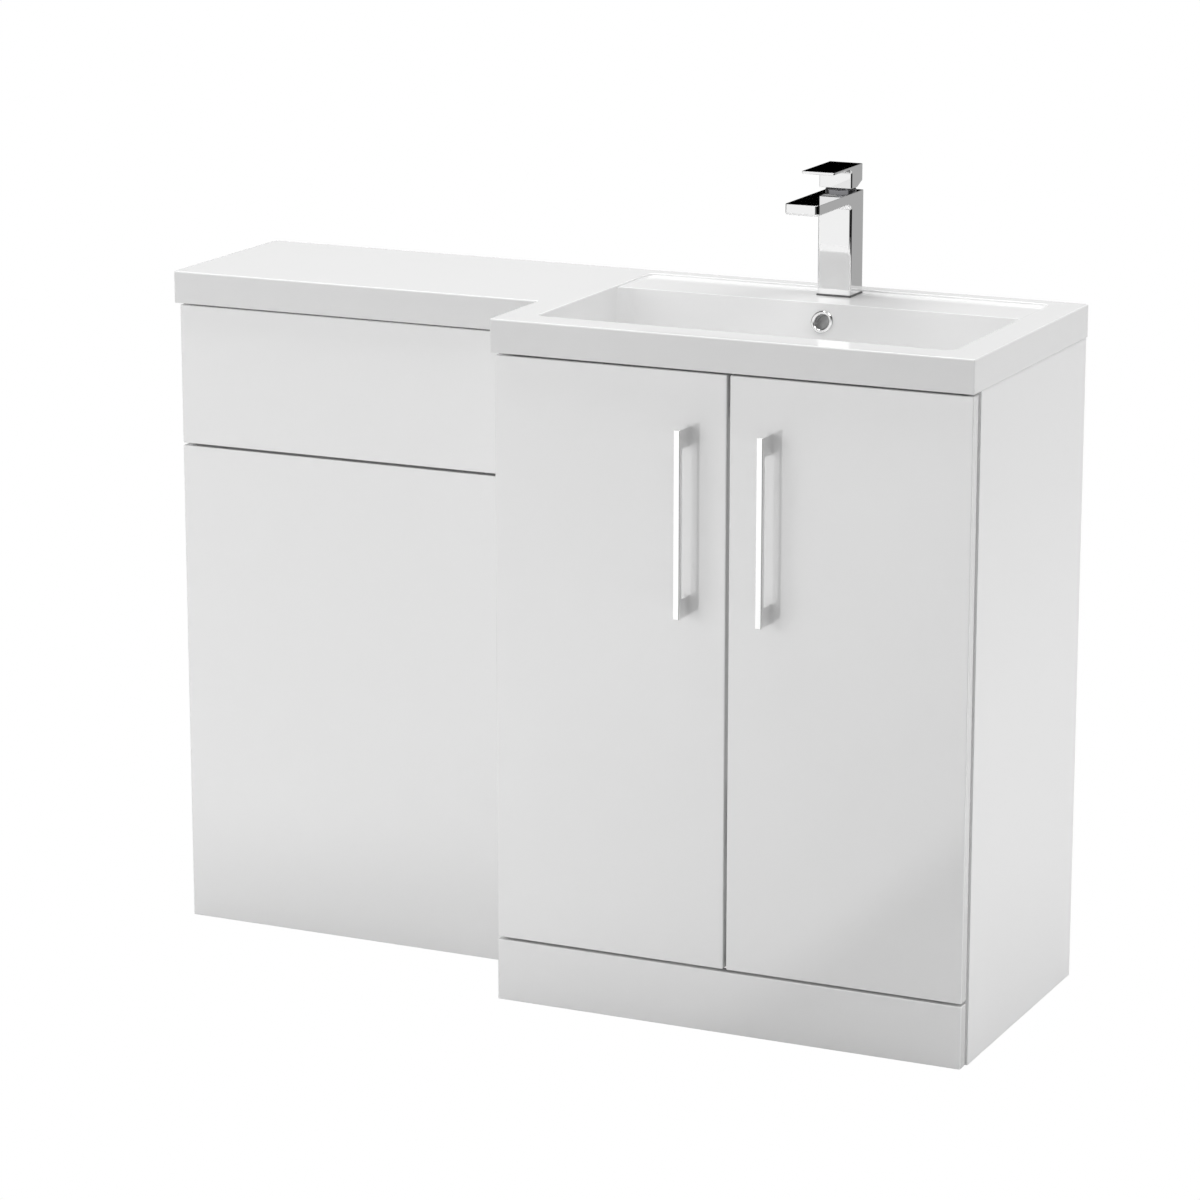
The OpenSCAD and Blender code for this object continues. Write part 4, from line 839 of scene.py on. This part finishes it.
# lever: thin plate over a block, with a hollow under the plate and a slope behind
LEVER_HALF = 21
LEVER_BACK = 28
LEVER_FRONT = 62        # of the block
LEVER_UNDER = 964.5
LEVER_SLOPE = 22
PLATE_UNDER, PLATE_TOP = 987.8, 991
PLATE_TIP = 117.5
rise = (TAP_D - LEVER_BACK) * math.tan(math.radians(LEVER_SLOPE))
lever_profile = [(LEVER_BACK, LEVER_UNDER + rise), (TAP_D, LEVER_UNDER), (LEVER_FRONT, LEVER_UNDER)]
lever_profile += inner_fillet(LEVER_FRONT, PLATE_UNDER, 6)
lever_profile += [(PLATE_TIP, PLATE_UNDER), (PLATE_TIP, PLATE_TOP), (LEVER_BACK, PLATE_TOP)]


def lever_chain(p, q):
    """The block's front corners, the fillet, and the plate's lower edges and lip."""
    return min(p[1], q[1]) > LEVER_FRONT - 0.1 and min(p[2], q[2]) < PLATE_TOP - 1 and abs(p[0] - q[0]) < 0.1


lever_rounds = ((lever_chain, 1.8, 8), (every, 0.4, 3))
bm = profile_bar(lever_profile, (BASIN_X - LEVER_HALF, BASIN_X + LEVER_HALF), lever_rounds)
lever = finish(bm, "lever_casting", "chrome", sharp=60)
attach(lever, "mixer_lever")
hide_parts("tap_lever")


# gasket: a flat plate, a little larger than the tap's foot, with round corners and an eased upper edge
GASKET_OUT = 1
GASKET_R = 2.0
GASKET_EASE = 1.2


def gasket_row(off, z):
    r = max(GASKET_R - off, 0.1)
    back, front_edge = TAP_BACK - GASKET_OUT, COLUMN_FRONT + GASKET_OUT
    half_x, half_d = TAP_HALF + GASKET_OUT - off - r, (front_edge - back) / 2 - off - r
    out = []
    for side_x, side_d, start in ((1, 1, 0), (-1, 1, 90), (-1, -1, 180), (1, -1, 270)):
        cx, cd = BASIN_X + side_x * half_x, (back + front_edge) / 2 + side_d * half_d
        for k in range(9):
            a = math.radians(start + 90 * k / 8)
            out.append(at(cx + r * math.cos(a), cd + r * math.sin(a), z))
    return out


bm = bmesh.new()
rows = []
for i in range(4):
    a = math.radians(30 * i)
    drop = GASKET_EASE * (1 - math.cos(a))
    rows.append(loop(bm, gasket_row(GASKET_EASE * (1 - math.sin(a)), TAP_FOOT - drop)))
rows.append(loop(bm, gasket_row(0, LEDGE)))
for a, b in zip(rows, rows[1:]):
    skin(bm, a, b)
bm.faces.new(rows[0])
bm.faces.new(rows[-1])
gasket = finish(bm, "tap_base_gasket", "seal")
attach(gasket, "cabinet")
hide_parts("tap_gasket")

CAP = [(12.8, 0.0), (12.8, 2.5), (13.1, 2.85), (13.5, 3.0), (17.6, 3.0), (18.2, 2.8), (18.5, 2.3),
       (18.5, 0.0), (12.8, 0.0)]
cap = lathe(at(BASIN_X, TAP_D, SPOUT_TOP), (0, 0, 1), CAP, "cap_ring", "dark_chrome")
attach(cap, "cabinet")
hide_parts("tap_cap_ring")


# ---------------------------------------------------------------- studio
def plane(name, w, h, loc, mat):
    bm = bmesh.new()
    bmesh.ops.create_grid(bm, x_segments=8, y_segments=8, size=0.5)
    for v in bm.verts:
        v.co.x *= w
        v.co.y *= h
    me = bpy.data.meshes.new(name)
    bm.to_mesh(me)
    bm.free()
    me.materials.append(mat)
    o = bpy.data.objects.new(name, me)
    o.location = loc
    bpy.context.scene.collection.objects.link(o)
    return o


LEVEL = {
    "ambient": 0.41,        # the room, on matt faces
    "floor_left": 0.07,     # light that the floor's left part gives off
    "top": 64.5,            # the four lamps, in watts
    "right_top": 30.5,
    "front_left": 45.0,
    "low_right": 4.3,
    "mirror": 1.05,         # the room and the floor, in reflections
    "softbox": 6.0,         # the bright ring overhead, in reflections
}


def mix_by(nt, flag, first, second):
    m = nt.nodes.new("ShaderNodeMixShader")
    nt.links.new(flag, m.inputs[0])
    nt.links.new(first, m.inputs[1])
    nt.links.new(second, m.inputs[2])
    return m.outputs[0]


def emission(nt, value):
    e = nt.nodes.new("ShaderNodeEmission")
    e.inputs["Color"].default_value = (1, 1, 1, 1)
    if isinstance(value, float):
        e.inputs["Strength"].default_value = value
    else:
        nt.links.new(value, e.inputs["Strength"])
    return e.outputs[0]


def grey_steps(nt, value, lo, hi, stops, gain):
    """A grey that depends on one coordinate, from lo to hi: stops are (coordinate, brightness)."""
    mp = nt.nodes.new("ShaderNodeMapRange")
    mp.inputs["From Min"].default_value = lo
    mp.inputs["From Max"].default_value = hi
    nt.links.new(value, mp.inputs["Value"])
    ramp = nt.nodes.new("ShaderNodeValToRGB")
    cr = ramp.color_ramp
    while len(cr.elements) < len(stops):
        cr.elements.new(0.5)
    for el, (coordinate, _) in zip(cr.elements, stops):
        el.position = (coordinate - lo) / (hi - lo)
    for el, (_, brightness) in zip(cr.elements, stops):
        el.color = (brightness, brightness, brightness, 1)
    nt.links.new(mp.outputs["Result"], ramp.inputs["Fac"])
    mul = nt.nodes.new("ShaderNodeMath")
    mul.operation = "MULTIPLY"
    mul.inputs[1].default_value = gain
    nt.links.new(ramp.outputs["Color"], mul.inputs[0])
    return mul.outputs[0]


def maths(nt, kind, first, second):
    m = nt.nodes.new("ShaderNodeMath")
    m.operation = kind
    nt.links.new(first, m.inputs[0])
    nt.links.new(second, m.inputs[1])
    return m.outputs[0]


# The floor is white to the eye. In reflections it is light in front on the left and dim on the right
FLOOR_HALF = 12
floor_mat, nt, b = new_mat("floor_white")
b.inputs["Base Color"].default_value = (0.86, 0.86, 0.86, 1)
b.inputs["Roughness"].default_value = 0.9
b.inputs["Specular IOR Level"].default_value = 0.0
lp = nt.nodes.new("ShaderNodeLightPath")
tc = nt.nodes.new("ShaderNodeTexCoord")
sep = nt.nodes.new("ShaderNodeSeparateXYZ")
nt.links.new(tc.outputs["Object"], sep.inputs[0])


def floor_grey(axis, stops, gain=1.0):
    return grey_steps(nt, sep.outputs[axis], -FLOOR_HALF, FLOOR_HALF, stops, gain)


left = floor_grey("X", ((-0.6, 1.0), (-0.10, 0.80), (0.19, 0.62), (0.21, 0.0)), LEVEL["mirror"])
ahead = floor_grey("Y", ((-0.5, 1.0), (0.3, 0.05)))
right = floor_grey("X", ((0.19, 0.0), (0.21, 1.0), (3.4, 1.0), (3.8, 0.02)), LEVEL["mirror"])
behind = floor_grey("Y", ((-0.2, 0.12), (0.6, 0.43)))
seen = maths(nt, "ADD", maths(nt, "MULTIPLY", left, ahead), maths(nt, "MULTIPLY", right, behind))
glow = grey_steps(nt, sep.outputs["X"], -6, 6, ((-3.0, 0.0), (-2.5, 1.0), (-0.1, 1.0), (0.3, 0.0)),
                  LEVEL["floor_left"])
both = nt.nodes.new("ShaderNodeAddShader")
nt.links.new(b.outputs[0], both.inputs[0])
nt.links.new(emission(nt, glow), both.inputs[1])
look = mix_by(nt, lp.outputs["Is Glossy Ray"], both.outputs[0], emission(nt, seen))
look = mix_by(nt, lp.outputs["Is Camera Ray"], look, emission(nt, 1.0))
nt.links.new(look, nt.nodes["Material Output"].inputs[0])
plane("studio_floor", 2 * FLOOR_HALF, 2 * FLOOR_HALF, (0, 0, -0.0006), floor_mat)

# A black flag behind the unit, which only reflections see. It keeps the tap's flat tops dark
flag_mat, nt, b = new_mat("flag_black")
b.inputs["Base Color"].default_value = (0, 0, 0, 1)
b.inputs["Specular IOR Level"].default_value = 0.0
flag = plane("studio_flag", 0.46, 0.16, (-0.17, 1.0, 1.165), flag_mat)
flag.rotation_euler = (math.radians(90), 0, 0)
for ray in ("camera", "diffuse", "shadow", "transmission", "volume_scatter"):
    setattr(flag, "visible_" + ray, False)

# The room is white to the eye. In reflections it is light in front, dark at the sides and dim behind, dimmer
# high up, with a bright ring overhead
world = bpy.data.worlds.new("studio")
bpy.context.scene.world = world
world.use_nodes = True
nt = world.node_tree
bg = nt.nodes["Background"]
bg.inputs["Color"].default_value = (1, 1, 1, 1)
bg.inputs["Strength"].default_value = LEVEL["ambient"]
white = nt.nodes.new("ShaderNodeBackground")
white.inputs["Color"].default_value = (1, 1, 1, 1)
white.inputs["Strength"].default_value = 1.0
glossy = nt.nodes.new("ShaderNodeBackground")
glossy.inputs["Color"].default_value = (1, 1, 1, 1)
tc = nt.nodes.new("ShaderNodeTexCoord")
sep = nt.nodes.new("ShaderNodeSeparateXYZ")
nt.links.new(tc.outputs["Generated"], sep.inputs[0])
around = grey_steps(nt, sep.outputs["Y"], -1, 1, ((-0.30, 1.0), (-0.10, 0.10), (0.40, 0.10), (0.60, 0.33)),
                    LEVEL["mirror"])
low = grey_steps(nt, sep.outputs["Z"], -1, 1, ((0.55, 1.0), (0.75, 0.2)), 1.0)
overhead = grey_steps(nt, sep.outputs["Z"], -1, 1, ((0.92, 0.0), (0.935, 1.0), (0.98, 1.0), (0.985, 0.0)),
                      LEVEL["softbox"])
nt.links.new(maths(nt, "ADD", maths(nt, "MULTIPLY", around, low), overhead), glossy.inputs["Strength"])
lp = nt.nodes.new("ShaderNodeLightPath")
look = mix_by(nt, lp.outputs["Is Glossy Ray"], bg.outputs[0], glossy.outputs[0])
look = mix_by(nt, lp.outputs["Is Camera Ray"], look, white.outputs[0])
nt.links.new(look, nt.nodes["World Output"].inputs[0])


def area(name, loc, target, size, power):
    lamp = bpy.data.lights.new(name, "AREA")
    lamp.shape = "RECTANGLE"
    lamp.size, lamp.size_y = size
    lamp.energy = power
    o = bpy.data.objects.new(name, lamp)
    o.location = loc
    aim = Vector(target) - Vector(loc)
    o.rotation_euler = aim.to_track_quat("-Z", "Y").to_euler()
    o.visible_glossy = False
    bpy.context.scene.collection.objects.link(o)


area("light_top", (-0.8, 0.2, 3.2), (0, 0.1, 0.8), (2.0, 2.0), LEVEL["top"])
area("light_right_top", (1.9, 0.5, 2.8), (0.2, 0, 0.8), (2.0, 1.5), LEVEL["right_top"])
area("light_front_left", (-2.4, -3.6, 1.4), (-0.2, 0, 0.5), (2.5, 2.0), LEVEL["front_left"])
area("light_low_right", (1.7, 0.0, 0.12), (0.5, 0, 0.1), (1.4, 0.2), LEVEL["low_right"])

# ---------------------------------------------------------------- camera
# as solved from the straight edges in the photo
cam_data = bpy.data.cameras.new("camera")
cam_data.sensor_width = 36
cam_data.lens = 132.78
cam_data.shift_x = 0.00387
cam_data.shift_y = -0.00198
cam_data.clip_end = 60
cam = bpy.data.objects.new("camera", cam_data)
cam.location = (2.2080, -4.7338, 1.7618)
cam.rotation_euler = (math.radians(90 - 13.93), 0, math.radians(25.01))
bpy.context.scene.collection.objects.link(cam)
bpy.context.scene.camera = cam
bpy.context.scene.view_settings.view_transform = "Standard"
